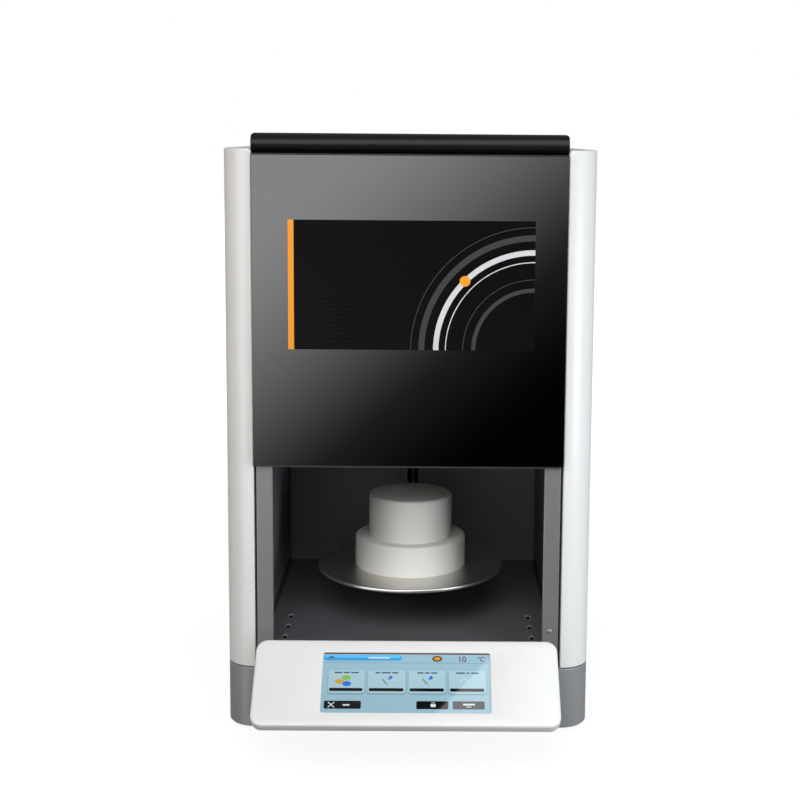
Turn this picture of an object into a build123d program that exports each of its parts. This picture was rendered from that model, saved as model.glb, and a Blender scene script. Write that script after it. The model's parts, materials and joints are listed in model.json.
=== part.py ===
from build123d import *
import math
import os

# Bench-top dental sintering furnace. The work stands on a round insulating plug, which a screw
# lift raises through the floor of the heating chamber. Millimetres, +X to the viewer's right,
# +Y to the back, +Z up. The origin is the centre of the footprint, on the bench.

# ---------------------------------------------------------------- driving dimensions: the body
BODY_WIDTH = 390.0
BODY_HALF = BODY_WIDTH / 2
PANEL_FACE = -169.7            # outer face of the black front panel
COVER_FACE = PANEL_FACE + 6.0  # front face of the side covers and of the base
BODY_BACK = 285.3              # back face of the side covers and of the base
FRONT_CORNER = 30.0
BACK_CORNER = 10.0
FOOT_HEIGHT = 4.0
BASE_TOP = 70.5
COVER_BOTTOM = 72.0            # leaves the dark line between the base and the covers
COVER_TOP = 624.5
HOOD_TOP = 640.0
PANEL_HALF = 163.0
COVER_EDGE = 163.4             # inner edge of each side cover
PANEL_BOTTOM = 293.5
PANEL_TOP = 618.0
PANEL_THICK = 4.0
RAIL_TOP = PANEL_TOP + 1.0     # the hood stands on the top rails
RAIL_HEIGHT = 12.0
NOSE_DEPTH = 16.0              # of the hood's half-round front
NOSE_LEAD = 1.0                # of the hood in front of the glass
HOOD_CORNER = 3.2              # rounding of the hood's ends, seen from the front
PLATE_INSET = 1.8              # of the chassis plate from the base's outline
SHELL = 2.0                    # wall of the moulded covers
SHEET = 1.5                    # wall of the folded sheet

# ---------------------------------------------------------------- the loading bay
BAY_HALF = 160.0
BAY_BACK = PANEL_FACE + 342.0
BAY_FLOOR = 89.0
BAY_CEILING = 290.0
PILLAR_WIDTH = 16.5            # of what stands in front of the bay's side walls
PILLAR_OUTER = 161.0
PILLAR_DEPTH = 20.0
PILLAR_LIP = 10.5              # width of the pillar's shorter rear lip
PILLAR_SCREW_Z = 112.0         # height of the screw of the right pillar
ARM_SLOT_HALF = 7.0            # half of the slot between the two back panels
CORNER_SEAM = 2.0
LOUVRE_X = 136.0
LOUVRE_Y = (52.0, 86.0, 120.0)  # behind the panel's face
LOUVRE_RADIUS = 2.8            # of the round scoops in the bay's floor
LOUVRE_THROAT = 2.1
LOUVRE_TILT = 20.0
CEILING_HOLE = 80.0            # radius, so that the metal stays clear of the hot plug

# ---------------------------------------------------------------- the lift
LIFT_Y = PANEL_FACE + 150.0
PLATE_TOP = 145.0
PLATE_RADIUS = 106.5
PLATE_THICK = 4.2
PLATE_EDGE = 1.8               # rounding of the disc's rim
PLUG_BASE_RADIUS = 63.5
PLUG_BASE_HEIGHT = 34.5
PLUG_RADIUS = 47.75
PLUG_HEIGHT = 48.5
PLUG_EDGE = 3.0                # rounding of the upper edge of each step
LIFT_TRAVEL = 143.5
HUB_RADIUS = 29.0
HUB_HEIGHT = 6.0
ARM_THICK = 11.0
ARM_REAR_HEIGHT = 34.0
ARM_FRONT_HEIGHT = 14.0
DRIVE_Y = BAY_BACK + 30.0
ROD_X = 38.0
ROD_RADIUS = 6.0
SCREW_RADIUS = 7.0
RUNNING_GAP = 0.08             # round every shaft and pin
CARRIAGE_SIZE = (106.0, 30.0, 40.0)
DRIVE_PLATE_SIZE = (126.0, 44.0, 10.0)
DRIVE_BOTTOM = 72.0
DRIVE_TOP = 330.0
COUPLING_HEIGHT = 26.0
COUPLING_RADIUS = 12.5
MOTOR_SIDE = 57.0
MOTOR_HEIGHT = 56.0

# ---------------------------------------------------------------- the heating chamber
PLUG_GAP = 2.5                 # round the plug, all the way up
CHAMBER_RADIUS = 60.0
INSULATION_RADIUS = 130.0
CHAMBER_FLOOR = 376.0
CHAMBER_CEILING = 490.0
INSULATION_TOP = 560.0
DRUM_THICK = 1.5
SEGMENT_COUNT = 8              # fibre segments in each ring under the chamber
ELEMENT_COUNT = 4
ELEMENT_RING = 50.0            # radius on which the element legs stand
ELEMENT_PITCH = 26.0           # between the two legs of one element
HOT_LEG_RADIUS = 3.0
COLD_LEG_RADIUS = 6.0

# ---------------------------------------------------------------- the console
CONSOLE_WIDTH = 310.0
CONSOLE_LENGTH = 95.5
CONSOLE_THICK = 12.0
CONSOLE_TILT = 40.6            # of the face from level
CONSOLE_CORNER = 12.0
CONSOLE_CENTRE = (PANEL_FACE - 82.0, 89.8)  # Y and Z of the middle of its face
SCREEN_WIDTH = 171.0
SCREEN_HEIGHT = 66.8
SCREEN_RECESS = 1.6

# ---------------------------------------------------------------- the back
FAN_SIDE = 92.0
FAN_DEPTH = 25.0
FAN_CENTRE = (92.0, 250.0)     # X and Z
FAN_BORE = 43.5
BLADE_COUNT = 7
SWITCH_CENTRE = (128.0, 118.0)
INLET_CENTRE = (70.0, 118.0)
ROCKER_TILT = 10.0


def block(x0, x1, y0, y1, z0, z1):
    """A box given by its lowest and highest corners."""
    centre = ((x0 + x1) / 2, (y0 + y1) / 2, (z0 + z1) / 2)
    return Pos(*centre) * Box(abs(x1 - x0), abs(y1 - y0), abs(z1 - z0))


def post(x, y, z0, z1, radius):
    """An upright cylinder."""
    return Pos(x, y, (z0 + z1) / 2) * Cylinder(radius, z1 - z0)


def rod_along_y(x, z, y0, y1, radius):
    """A level cylinder that points to the back."""
    return Pos(x, (y0 + y1) / 2, z) * Rot(90, 0, 0) * Cylinder(radius, y1 - y0)


def ring(x, y, z0, z1, outer, inner):
    return post(x, y, z0, z1, outer) - post(x, y, z0, z1, inner)


def mirrored(shape):
    """The same piece on the other side of the body."""
    return mirror(shape, about=Plane.YZ)


def footprint(inset=0.0):
    """Plan outline of the body: wide round corners in front and small ones behind."""
    half = BODY_HALF - inset
    front = COVER_FACE + inset
    back = BODY_BACK - inset
    corners = [(-half, front), (half, front), (half, back), (-half, back)]
    outline = make_face(Polyline(*corners, close=True))
    front_corners = outline.vertices().sort_by(Axis.Y)[:2]
    outline = fillet(front_corners, FRONT_CORNER - inset)
    back_corners = outline.vertices().filter_by_position(Axis.Y, back - 0.1, back + 0.1)
    return fillet(back_corners, BACK_CORNER - inset)


def raised(outline, z0, z1):
    """An outline of the XY plane carried up from z0 to z1."""
    return Pos(0, 0, z0) * extrude(outline, z1 - z0)


# ---------------------------------------------------------------- base and feet
def base_tray():
    """Grey plinth: an open tray with a softened rim, its underside pierced for air."""
    wall = 2.5
    tray = raised(footprint(), FOOT_HEIGHT, BASE_TOP)
    rim = tray.edges().filter_by_position(Axis.Z, BASE_TOP - 0.01, BASE_TOP + 0.01)
    tray = fillet(rim, 1.6)
    foot_edge = tray.edges().filter_by_position(Axis.Z, FOOT_HEIGHT - 0.01, FOOT_HEIGHT + 0.01)
    tray = chamfer(foot_edge, 1.2)
    tray -= raised(footprint(wall), FOOT_HEIGHT + wall, BASE_TOP + 1)
    slot = Box(60, 4, 10)
    for row in range(6):
        for x in (-90, 0, 90):
            tray -= Pos(x, 80 + 16 * row, FOOT_HEIGHT) * slot
    return tray


def chassis_plate():
    """Black plate on the base's rim. Its edge shows as the dark line under the covers."""
    plate = raised(footprint(PLATE_INSET), BASE_TOP, COVER_BOTTOM)
    for x in (-105, 105):
        plate -= Pos(x, -40, BASE_TOP) * Box(70, 120, 10)
    return plate


def rubber_feet():
    """Four turned feet, a little narrower at the bench."""
    foot = Cone(13, 15, FOOT_HEIGHT)
    spots = [(sx * 150, y) for sx in (-1, 1) for y in (COVER_FACE + 45, BODY_BACK - 45)]
    return Compound([Pos(x, y, FOOT_HEIGHT / 2) * foot for x, y in spots])


# ---------------------------------------------------------------- outer covers
def side_cover_right():
    """Tall white shell: round front corner, closed top, folded edges front and back."""
    edge_x = COVER_EDGE
    return_depth = 38.0
    keep = block(edge_x, BODY_HALF + 1, COVER_FACE - 1, BODY_BACK + 1, 0, HOOD_TOP)
    shell = raised(footprint(), COVER_BOTTOM, COVER_TOP) & keep
    rim = shell.edges().filter_by_position(Axis.Z, COVER_TOP - 0.01, COVER_TOP + 0.01)
    shell = fillet(rim.filter_by_position(Axis.X, edge_x + 0.5, BODY_HALF + 1), 2.0)
    hollow = raised(footprint(SHELL), COVER_BOTTOM - 1, COVER_TOP - SHELL)
    shell -= hollow & block(edge_x + SHELL, BODY_HALF, -400, 400, 0, HOOD_TOP)
    mouth_front = COVER_FACE + return_depth
    mouth_back = BODY_BACK - 18.0
    mouth = block(edge_x - 1, edge_x + SHELL + 1, mouth_front, mouth_back,
                  COVER_BOTTOM - 1, COVER_TOP - 16)
    return shell - mouth


def front_panel():
    """Black glass over the heating chamber, its front edge ground."""
    glass = block(-PANEL_HALF, PANEL_HALF, PANEL_FACE, PANEL_FACE + PANEL_THICK,
                  PANEL_BOTTOM, PANEL_TOP)
    front_edges = glass.faces().sort_by(Axis.Y)[0].edges()
    return chamfer(front_edges, 0.4)


def front_frame():
    """Folded sheet behind the glass, with a lip under its lower edge and flanges at its sides."""
    plate_y = PANEL_FACE + PANEL_THICK
    half = PANEL_HALF - 3.0
    frame = block(-half, half, plate_y, COVER_FACE, PANEL_BOTTOM, PANEL_TOP - 2)
    lip_bottom = PANEL_BOTTOM - SHEET
    inner = BAY_HALF - PILLAR_WIDTH - 0.4
    frame += block(-half, half, PANEL_FACE + 0.6, COVER_FACE, lip_bottom, PANEL_BOTTOM)
    frame += block(-inner, inner, COVER_FACE, PANEL_FACE + 16, lip_bottom, PANEL_BOTTOM)
    for x in (-95, 0, 95):
        for z in (370, 530):
            frame -= rod_along_y(x, z, plate_y - 1, COVER_FACE + 1, 30)
    return frame


def hood_profile(inset, back_edge, skirt_bottom):
    """Side view of the hood: a half-round nose over the glass, a flat top and a round back."""
    nose_y = PANEL_FACE - NOSE_LEAD + NOSE_DEPTH
    nose_z = (HOOD_TOP + RAIL_TOP + 0.6) / 2
    skirt_y = nose_y + 1 + inset
    back_round = 16.0 - inset
    top = HOOD_TOP - inset
    under = 2 * nose_z - top
    nose = EllipticalCenterArc((nose_y, nose_z), NOSE_DEPTH - inset, top - nose_z,
                               start_angle=90, arc_size=180)
    back = back_edge - inset
    outline = [
        nose,
        Line((nose_y, under), (skirt_y, under)),
        Line((skirt_y, under), (skirt_y, skirt_bottom)),
        Line((skirt_y, skirt_bottom), (back, skirt_bottom)),
        Line((back, skirt_bottom), (back, top - back_round)),
        CenterArc((back - back_round, top - back_round), back_round, 0, 90),
        Line((back - back_round, top), (nose_y, top)),
    ]
    return Plane.YZ * make_face(outline)


def hood_solid(inset, skirt_bottom):
    """The hood's side view and its front view, each carried through, and what both share."""
    from_side = extrude(hood_profile(inset, BODY_BACK, skirt_bottom), PANEL_HALF, both=True)
    half = PANEL_HALF - inset
    height = 2 * (HOOD_TOP - inset - skirt_bottom)
    front_view = RectangleRounded(2 * half, height, HOOD_CORNER - inset)
    from_front = extrude(Plane.XZ * front_view, 400, both=True)
    return from_side & Pos(0, 0, skirt_bottom) * from_front


def top_hood():
    """Black hood: the rolled band over the front panel, carried back, with vent slots behind."""
    hood = hood_solid(0.0, RAIL_TOP) - hood_solid(SHELL, RAIL_TOP - 1)
    slot = Box(4.0, 70.0, 12.0)
    for side in (-1, 1):
        for step in range(8):
            hood -= Pos(side * (34 + 12 * step), 190, HOOD_TOP) * slot
    return hood


def rear_panel():
    """Flat sheet between the covers, cut for the fan, the inlet, the switch and air."""
    half = PANEL_HALF
    y0 = BODY_BACK - 3.5
    y1 = y0 + SHEET
    sheet = block(-half, half, y0, y1, COVER_BOTTOM, RAIL_TOP)
    for step in range(12):
        sheet -= block(-110, 110, y0 - 1, y1 + 1, 440 + 12 * step, 444 + 12 * step)
    fan_x, fan_z = FAN_CENTRE
    for step in range(-5, 6):
        height = 7.4 * step
        reach = math.sqrt((FAN_BORE - 2) ** 2 - height ** 2)
        sheet -= block(fan_x - reach, fan_x + reach, y0 - 1, y1 + 1,
                       fan_z + height - 1.9, fan_z + height + 1.9)
    # A rib left upright across the fan slots keeps the louvres stiff.
    sheet += block(fan_x - 2, fan_x + 2, y0, y1, fan_z - 44, fan_z + 44)
    switch_x, switch_z = SWITCH_CENTRE
    sheet -= block(switch_x - 9.6, switch_x + 9.6, y0 - 1, y1 + 1, switch_z - 13.6, switch_z + 13.6)
    inlet_x, inlet_z = INLET_CENTRE
    sheet -= block(inlet_x - 17.1, inlet_x + 17.1, y0 - 1, y1 + 1, inlet_z - 13.1, inlet_z + 13.1)
    for x, z in REAR_SCREW_SPOTS:
        sheet -= rod_along_y(x, z, y0 - 1, y1 + 1, 2.2)
    return sheet


REAR_SCREW_SPOTS = [(sx * 152, z) for sx in (-1, 1) for z in (90, 260, 430, 600)]


def rear_screws():
    """Pan-head screws round the back panel, each with a cross recess."""
    y0 = BODY_BACK - 3.5
    head = Pos(0, y0 + SHEET + 1.2, 0) * Rot(-90, 0, 0) * Cone(4.0, 3.0, 2.4)
    shank = rod_along_y(0, 0, y0 - 10, y0 + SHEET, 2.0)
    recess_y = y0 + SHEET + 2.4
    cross = Pos(0, recess_y, 0) * (Box(4, 1.6, 0.9) + Box(0.9, 1.6, 4))
    screw = head + shank - cross
    return Compound([Pos(x, 0, z) * screw for x, z in REAR_SCREW_SPOTS])


# ---------------------------------------------------------------- frame and loading bay
def pillar_right():
    """Folded channel beside the loading bay, open to the middle, from the base to the top rails."""
    x0 = BAY_HALF - PILLAR_WIDTH
    y0 = COVER_FACE
    y1 = y0 + PILLAR_DEPTH
    bottom = COVER_BOTTOM
    top = RAIL_TOP - RAIL_HEIGHT
    channel = block(x0, PILLAR_OUTER, y0, y1, bottom, top)
    channel = fillet(channel.edges().filter_by(Axis.Z), 1.2)
    channel -= block(x0 - 1, PILLAR_OUTER - SHEET, y0 + SHEET, y1 - SHEET, bottom - 1, top + 1)
    channel -= block(x0 - 1, PILLAR_OUTER - PILLAR_LIP, y0 + SHEET, y1 + 1, bottom - 1, top + 1)
    return channel - rod_along_y(BAY_HALF - PILLAR_WIDTH / 2, PILLAR_SCREW_Z, y0 - 1, y0 + 4, 1.5)


def pillar_left():
    """The same channel without the screw, which the right one alone shows."""
    x = BAY_HALF - PILLAR_WIDTH / 2
    plugged = pillar_right() + rod_along_y(x, PILLAR_SCREW_Z, COVER_FACE, COVER_FACE + SHEET, 1.5)
    return mirrored(plugged)


def pillar_screws():
    """Low round-headed screw in the front of the right pillar, beside the floor."""
    height = 1.0
    radius = 5.0
    screw = rod_along_y(0, 0, COVER_FACE, COVER_FACE + 8, 1.5)
    head = Pos(0, COVER_FACE + radius - height, 0) * Sphere(radius)
    screw += head & block(-4, 4, COVER_FACE - height, COVER_FACE, -4, 4)
    return Pos(BAY_HALF - PILLAR_WIDTH / 2, 0, PILLAR_SCREW_Z) * screw


def rear_posts():
    """Two folded angles behind the bay that carry the chamber floor and the back panels."""
    y0 = BAY_BACK + SHEET
    top = RAIL_TOP - RAIL_HEIGHT
    leg = block(BAY_HALF - 15, BAY_HALF, y0, y0 + 2, COVER_BOTTOM, top)
    leg += block(BAY_HALF - 2, BAY_HALF, y0, y0 + 20, COVER_BOTTOM, top)
    return Compound([leg, mirrored(leg)])


def top_rails():
    """Front and back cross rails that tie the pillars and posts at the top."""
    z0 = RAIL_TOP - RAIL_HEIGHT
    half = PANEL_HALF
    front = block(-half, half, COVER_FACE, COVER_FACE + PILLAR_DEPTH, z0, RAIL_TOP)
    back_y = BAY_BACK + SHEET
    back = block(-half, half, back_y, back_y + 20, z0, RAIL_TOP)
    return Compound([front, back])


def bay_wall_right():
    return block(BAY_HALF, BAY_HALF + SHEET, COVER_FACE + PILLAR_DEPTH, BAY_BACK,
                 BAY_FLOOR - SHEET, BAY_CEILING)


def bay_back_right():
    """Right half of the bay's back, short of the corner and of the slot for the lift arm."""
    panel = block(ARM_SLOT_HALF, BAY_HALF - CORNER_SEAM, BAY_BACK, BAY_BACK + SHEET,
                  BAY_FLOOR, BAY_CEILING)
    folded_edge = block(ARM_SLOT_HALF, ARM_SLOT_HALF + SHEET, BAY_BACK, BAY_BACK + 8,
                        BAY_FLOOR, BAY_CEILING)
    return panel + folded_edge


def bay_floor():
    """Sheet floor with a folded front sill and three small scooped louvres at each side."""
    front = COVER_FACE + 1.0
    back = BAY_BACK + SHEET
    sheet = block(-BAY_HALF, BAY_HALF, front, back, BAY_FLOOR - SHEET, BAY_FLOOR)
    sheet += block(-BAY_HALF, BAY_HALF, front, front + SHEET, COVER_BOTTOM, BAY_FLOOR)
    sheet += block(-BAY_HALF, BAY_HALF, back - SHEET, back, COVER_BOTTOM, BAY_FLOOR)
    for sx in (-1, 1):
        corner_x = sx * (BAY_HALF - PILLAR_WIDTH / 2)
        sheet -= Pos(corner_x, COVER_FACE + PILLAR_DEPTH / 2, BAY_FLOOR) * Box(
            PILLAR_WIDTH + 0.6, PILLAR_DEPTH + 0.6, 60)
        for y in LOUVRE_Y:
            spot = Pos(sx * LOUVRE_X, PANEL_FACE + y, BAY_FLOOR)
            sheet += spot * louvre_scoop()
            sheet -= spot * louvre_throat(LOUVRE_THROAT, 14)
    return sheet


def louvre_throat(radius, length):
    """Round bar that rises to the front out of the floor, a little below its surface."""
    return Pos(0, 0, -1.2) * Rot(90 - LOUVRE_TILT, 0, 0) * Cylinder(radius, length)


def louvre_scoop():
    """What shows of that bar above the underside of the floor, cut upright at its mouth."""
    return louvre_throat(LOUVRE_RADIUS, 9) & block(-4, 4, -2.6, 6, -SHEET, 4)


def bay_ceiling():
    """Plate over the bay, with a hole wider than the fibre mouth that it carries."""
    half = BAY_HALF + SHEET
    plate = block(-half, half, COVER_FACE + PILLAR_DEPTH, BAY_BACK + SHEET,
                  BAY_CEILING, BAY_CEILING + 2)
    return plate - post(0, LIFT_Y, BAY_CEILING - 1, BAY_CEILING + 3, CEILING_HOLE)


# ---------------------------------------------------------------- heating chamber
def fibre_segments(bottom, top, bore, turn):
    """Equal fibre segments laid edge to edge in a ring, the first one turned from +X."""
    reach = 2 * INSULATION_RADIUS
    half_pitch = 180 / SEGMENT_COUNT
    side = reach * math.tan(math.radians(half_pitch))
    wedge = extrude(make_face(Polyline((0, 0), (reach, -side), (reach, side), close=True)),
                    top - bottom)
    segment = ring(0, 0, bottom, top, INSULATION_RADIUS, bore) & Pos(0, 0, bottom) * wedge
    return Compound([Pos(0, LIFT_Y, 0) * Rot(0, 0, turn + 2 * half_pitch * k) * segment
                     for k in range(SEGMENT_COUNT)])


def step_height():
    """Height of the step in the mouth, a little above the raised plug's own step."""
    return PLATE_TOP + LIFT_TRAVEL + PLUG_BASE_HEIGHT + 2


def insulation_mouth():
    """Lower fibre ring, whose bore the wide step of the raised plug fills."""
    return fibre_segments(BAY_CEILING + 2, step_height(), PLUG_BASE_RADIUS + PLUG_GAP, 0)


def insulation_floor():
    """Upper fibre ring round the narrow step, its joints staggered over those below."""
    turn = 180 / SEGMENT_COUNT
    return fibre_segments(step_height(), CHAMBER_FLOOR, PLUG_RADIUS + PLUG_GAP, turn)


def insulation_wall():
    return ring(0, LIFT_Y, CHAMBER_FLOOR, CHAMBER_CEILING, INSULATION_RADIUS, CHAMBER_RADIUS)


def element_spots():
    """Centres of the two legs of each heating element, in plan."""
    spots = []
    for k in range(ELEMENT_COUNT):
        turn = math.radians(45 + 360 / ELEMENT_COUNT * k)
        across = (-math.sin(turn), math.cos(turn))
        middle = (ELEMENT_RING * math.cos(turn), LIFT_Y + ELEMENT_RING * math.sin(turn))
        reach = ELEMENT_PITCH / 2
        legs = [(middle[0] + s * reach * across[0], middle[1] + s * reach * across[1])
                for s in (-1, 1)]
        spots.append((legs, math.degrees(turn)))
    return spots


def insulation_roof():
    """Upper fibre slab, bored for the element legs and the thermocouple."""
    slab = post(0, LIFT_Y, CHAMBER_CEILING, INSULATION_TOP, INSULATION_RADIUS)
    for legs, _ in element_spots():
        for x, y in legs:
            slab -= post(x, y, CHAMBER_CEILING - 1, INSULATION_TOP + 1, COLD_LEG_RADIUS + 0.5)
    return slab - post(0, LIFT_Y, CHAMBER_CEILING - 1, INSULATION_TOP + 1, 4.5)


def chamber_drum():
    """Steel jacket round the insulation, with a rolled rim that holds the roof slab."""
    outer = INSULATION_RADIUS + DRUM_THICK
    bottom = BAY_CEILING + 2
    jacket = ring(0, LIFT_Y, bottom, INSULATION_TOP + 2, outer, INSULATION_RADIUS)
    rim = ring(0, LIFT_Y, INSULATION_TOP, INSULATION_TOP + 2, outer, INSULATION_RADIUS - 12)
    return jacket + rim


def heating_elements():
    """U-shaped elements: thick cold legs through the roof, thin hot legs and a half-round bend."""
    bend_radius = ELEMENT_PITCH / 2
    bend_z = CHAMBER_FLOOR + 14 + bend_radius
    cold_z = CHAMBER_CEILING - 6
    hot_path = [
        Line((-bend_radius, cold_z), (-bend_radius, bend_z)),
        CenterArc((0, bend_z), bend_radius, 180, 180),
        Line((bend_radius, bend_z), (bend_radius, cold_z)),
    ]
    path = Plane.XZ * Wire(hot_path)
    section = Pos(-bend_radius, 0, cold_z) * Circle(HOT_LEG_RADIUS)
    loop = sweep(section, path=path)
    for side in (-1, 1):
        loop += post(side * bend_radius, 0, cold_z, INSULATION_TOP + 34, COLD_LEG_RADIUS)
    solids = []
    for legs, turn in element_spots():
        x = (legs[0][0] + legs[1][0]) / 2
        y = (legs[0][1] + legs[1][1]) / 2
        solids.append(Pos(x, y, 0) * Rot(0, 0, turn + 90) * loop)
    return Compound(solids)


def element_clamps():
    """Split blocks that grip each pair of cold legs above the roof slab."""
    solids = []
    for legs, turn in element_spots():
        x = (legs[0][0] + legs[1][0]) / 2
        y = (legs[0][1] + legs[1][1]) / 2
        bar = Box(ELEMENT_PITCH + 20, 18, 10)
        for side in (-1, 1):
            bar -= Pos(side * ELEMENT_PITCH / 2, 0, 0) * Cylinder(COLD_LEG_RADIUS + 0.1, 12)
            bar -= Pos(side * (ELEMENT_PITCH / 2 + 8), 0, 0) * Box(6, 1.2, 12)
        solids.append(Pos(x, y, INSULATION_TOP + 15) * Rot(0, 0, turn + 90) * bar)
    return Compound(solids)


def thermocouple():
    """Ceramic sheath down the middle of the roof slab, under its connection head."""
    sheath = post(0, LIFT_Y, CHAMBER_CEILING - 22, INSULATION_TOP + 2, 4.0)
    tip = Pos(0, LIFT_Y, CHAMBER_CEILING - 22) * Sphere(4.0)
    head = post(0, LIFT_Y, INSULATION_TOP + 2, INSULATION_TOP + 26, 13)
    lid = post(0, LIFT_Y, INSULATION_TOP + 26, INSULATION_TOP + 30, 14.5)
    return sheath + tip + head + lid


# ---------------------------------------------------------------- lift: what rises
def lift_plate():
    """Stainless disc under the plug, its rim rounded, screwed to the hub."""
    disc = post(0, LIFT_Y, PLATE_TOP - PLATE_THICK, PLATE_TOP, PLATE_RADIUS)
    return fillet(disc.edges().filter_by(GeomType.CIRCLE), PLATE_EDGE)


def plug_base():
    """Wide lower step of the fibre plug, softened at its upper edge."""
    step = post(0, LIFT_Y, PLATE_TOP, PLATE_TOP + PLUG_BASE_HEIGHT, PLUG_BASE_RADIUS)
    return fillet(step.edges().group_by(Axis.Z)[-1], PLUG_EDGE)


def plug_block():
    """Narrow upper step, on whose flat top the work tray stands."""
    z0 = PLATE_TOP + PLUG_BASE_HEIGHT
    step = post(0, LIFT_Y, z0, z0 + PLUG_HEIGHT, PLUG_RADIUS)
    return fillet(step.edges().group_by(Axis.Z)[-1], PLUG_EDGE)


def lift_hub():
    """Turned boss under the disc, with four countersunk screw holes."""
    z1 = PLATE_TOP - PLATE_THICK
    hub = post(0, LIFT_Y, z1 - HUB_HEIGHT, z1, HUB_RADIUS)
    for k in range(4):
        turn = math.radians(45 + 90 * k)
        x, y = 21 * math.cos(turn), LIFT_Y + 21 * math.sin(turn)
        hub -= post(x, y, z1 - HUB_HEIGHT - 1, z1 + 1, 2.6)
    return hub


def lift_arm():
    """Tapered upright plate from the hub, through the slot, to the carriage."""
    top = PLATE_TOP - PLATE_THICK - HUB_HEIGHT
    front = LIFT_Y - HUB_RADIUS + 3
    back = DRIVE_Y - CARRIAGE_SIZE[1] / 2
    heel = BAY_BACK - 24
    side = [
        (front, top), (back, top), (back, top - ARM_REAR_HEIGHT),
        (heel, top - ARM_REAR_HEIGHT), (front, top - ARM_FRONT_HEIGHT),
    ]
    outline = Plane.YZ * make_face(Polyline(*side, close=True))
    return extrude(outline, ARM_THICK / 2, both=True)


def carriage_z():
    """Middle of the carriage at rest, level with the heel of the arm."""
    return PLATE_TOP - PLATE_THICK - HUB_HEIGHT - ARM_REAR_HEIGHT / 2


def lift_carriage():
    """Block that runs on the two rods, bored for its bushes and for the nut."""
    width, depth, height = CARRIAGE_SIZE
    z = carriage_z()
    body = Pos(0, DRIVE_Y, z) * Box(width, depth, height)
    body = chamfer(body.edges().filter_by(Axis.Z), 3.0)
    for x in (-ROD_X, ROD_X):
        body -= Pos(x, DRIVE_Y, z) * Cylinder(10.5, height + 2)
    return body - Pos(0, DRIVE_Y, z) * Cylinder(11.0, height + 2)


def slide_bushes():
    """Two linear bushes pressed into the carriage."""
    height = CARRIAGE_SIZE[2]
    z = carriage_z()
    bush = Cylinder(10.5, height) - Cylinder(ROD_RADIUS + RUNNING_GAP, height + 2)
    return Compound([Pos(x, DRIVE_Y, z) * bush for x in (-ROD_X, ROD_X)])


def lift_nut():
    """Flanged bronze nut on the lead screw, its flange under the carriage."""
    height = CARRIAGE_SIZE[2]
    z = carriage_z()
    nut = Pos(0, DRIVE_Y, z) * Cylinder(11.0, height)
    flange_z = z - height / 2 - 2.5
    nut += Pos(0, DRIVE_Y, flange_z) * Cylinder(17.0, 5.0)
    for k in range(4):
        turn = math.radians(45 + 90 * k)
        x, y = 14 * math.cos(turn), DRIVE_Y + 14 * math.sin(turn)
        nut -= Pos(x, y, flange_z) * Cylinder(1.7, 6)
    return nut - Pos(0, DRIVE_Y, z - 5) * Cylinder(SCREW_RADIUS + RUNNING_GAP, height + 20)


# ---------------------------------------------------------------- lift: what stays
def drive_plate(z0):
    """Cross plate that holds both rods and one bearing of the lead screw."""
    width, depth, height = DRIVE_PLATE_SIZE
    plate = Pos(0, DRIVE_Y, z0 + height / 2) * Box(width, depth, height)
    plate = chamfer(plate.edges().filter_by(Axis.Z), 4.0)
    for x in (-ROD_X, ROD_X):
        plate -= post(x, DRIVE_Y, z0 - 1, z0 + height + 1, ROD_RADIUS)
    return plate - post(0, DRIVE_Y, z0 - 1, z0 + height + 1, 13.0)


def guide_rods():
    top = DRIVE_TOP + DRIVE_PLATE_SIZE[2]
    return Compound([post(x, DRIVE_Y, DRIVE_BOTTOM, top, ROD_RADIUS) for x in (-ROD_X, ROD_X)])


def screw_bearings():
    height = DRIVE_PLATE_SIZE[2]
    inner = SCREW_RADIUS + RUNNING_GAP
    return Compound([ring(0, DRIVE_Y, z, z + height, 13.0, inner) for z in (DRIVE_BOTTOM, DRIVE_TOP)])


def coupling_base():
    """Lower face of the shaft coupling, just above the upper drive plate."""
    return DRIVE_TOP + DRIVE_PLATE_SIZE[2] + 2


def motor_bracket():
    """Four stand-offs between the upper drive plate and the motor."""
    z0 = DRIVE_TOP + DRIVE_PLATE_SIZE[2]
    z1 = coupling_base() + COUPLING_HEIGHT + 4
    reach = MOTOR_SIDE / 2 - 5
    spots = [(sx * reach, sy * (reach - 7)) for sx in (-1, 1) for sy in (-1, 1)]
    return Compound([post(x, DRIVE_Y + y, z0, z1, 4.0) for x, y in spots])


def lift_motor():
    """Square stepper motor on the stand-offs, its laminated middle set in a little."""
    z0 = coupling_base() + COUPLING_HEIGHT + 4
    cap = 14.0
    body = None
    for low, high, side in ((0, cap, MOTOR_SIDE), (cap, MOTOR_HEIGHT - cap, MOTOR_SIDE - 3),
                            (MOTOR_HEIGHT - cap, MOTOR_HEIGHT, MOTOR_SIDE)):
        slab = Pos(0, DRIVE_Y, z0 + (low + high) / 2) * Box(side, side, high - low)
        slab = chamfer(slab.edges().filter_by(Axis.Z), 5.0)
        body = slab if body is None else body + slab
    return body - post(0, DRIVE_Y, z0 - 1, z0 + 20, 3.3)


def lead_screw():
    """Screw shaft between the two bearings, turned down where the coupling grips it."""
    shaft = post(0, DRIVE_Y, DRIVE_BOTTOM, DRIVE_TOP + DRIVE_PLATE_SIZE[2] + 1, SCREW_RADIUS)
    neck_top = coupling_base() + COUPLING_HEIGHT / 2 - 1
    return shaft + post(0, DRIVE_Y, DRIVE_TOP, neck_top, 5.0)


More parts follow.
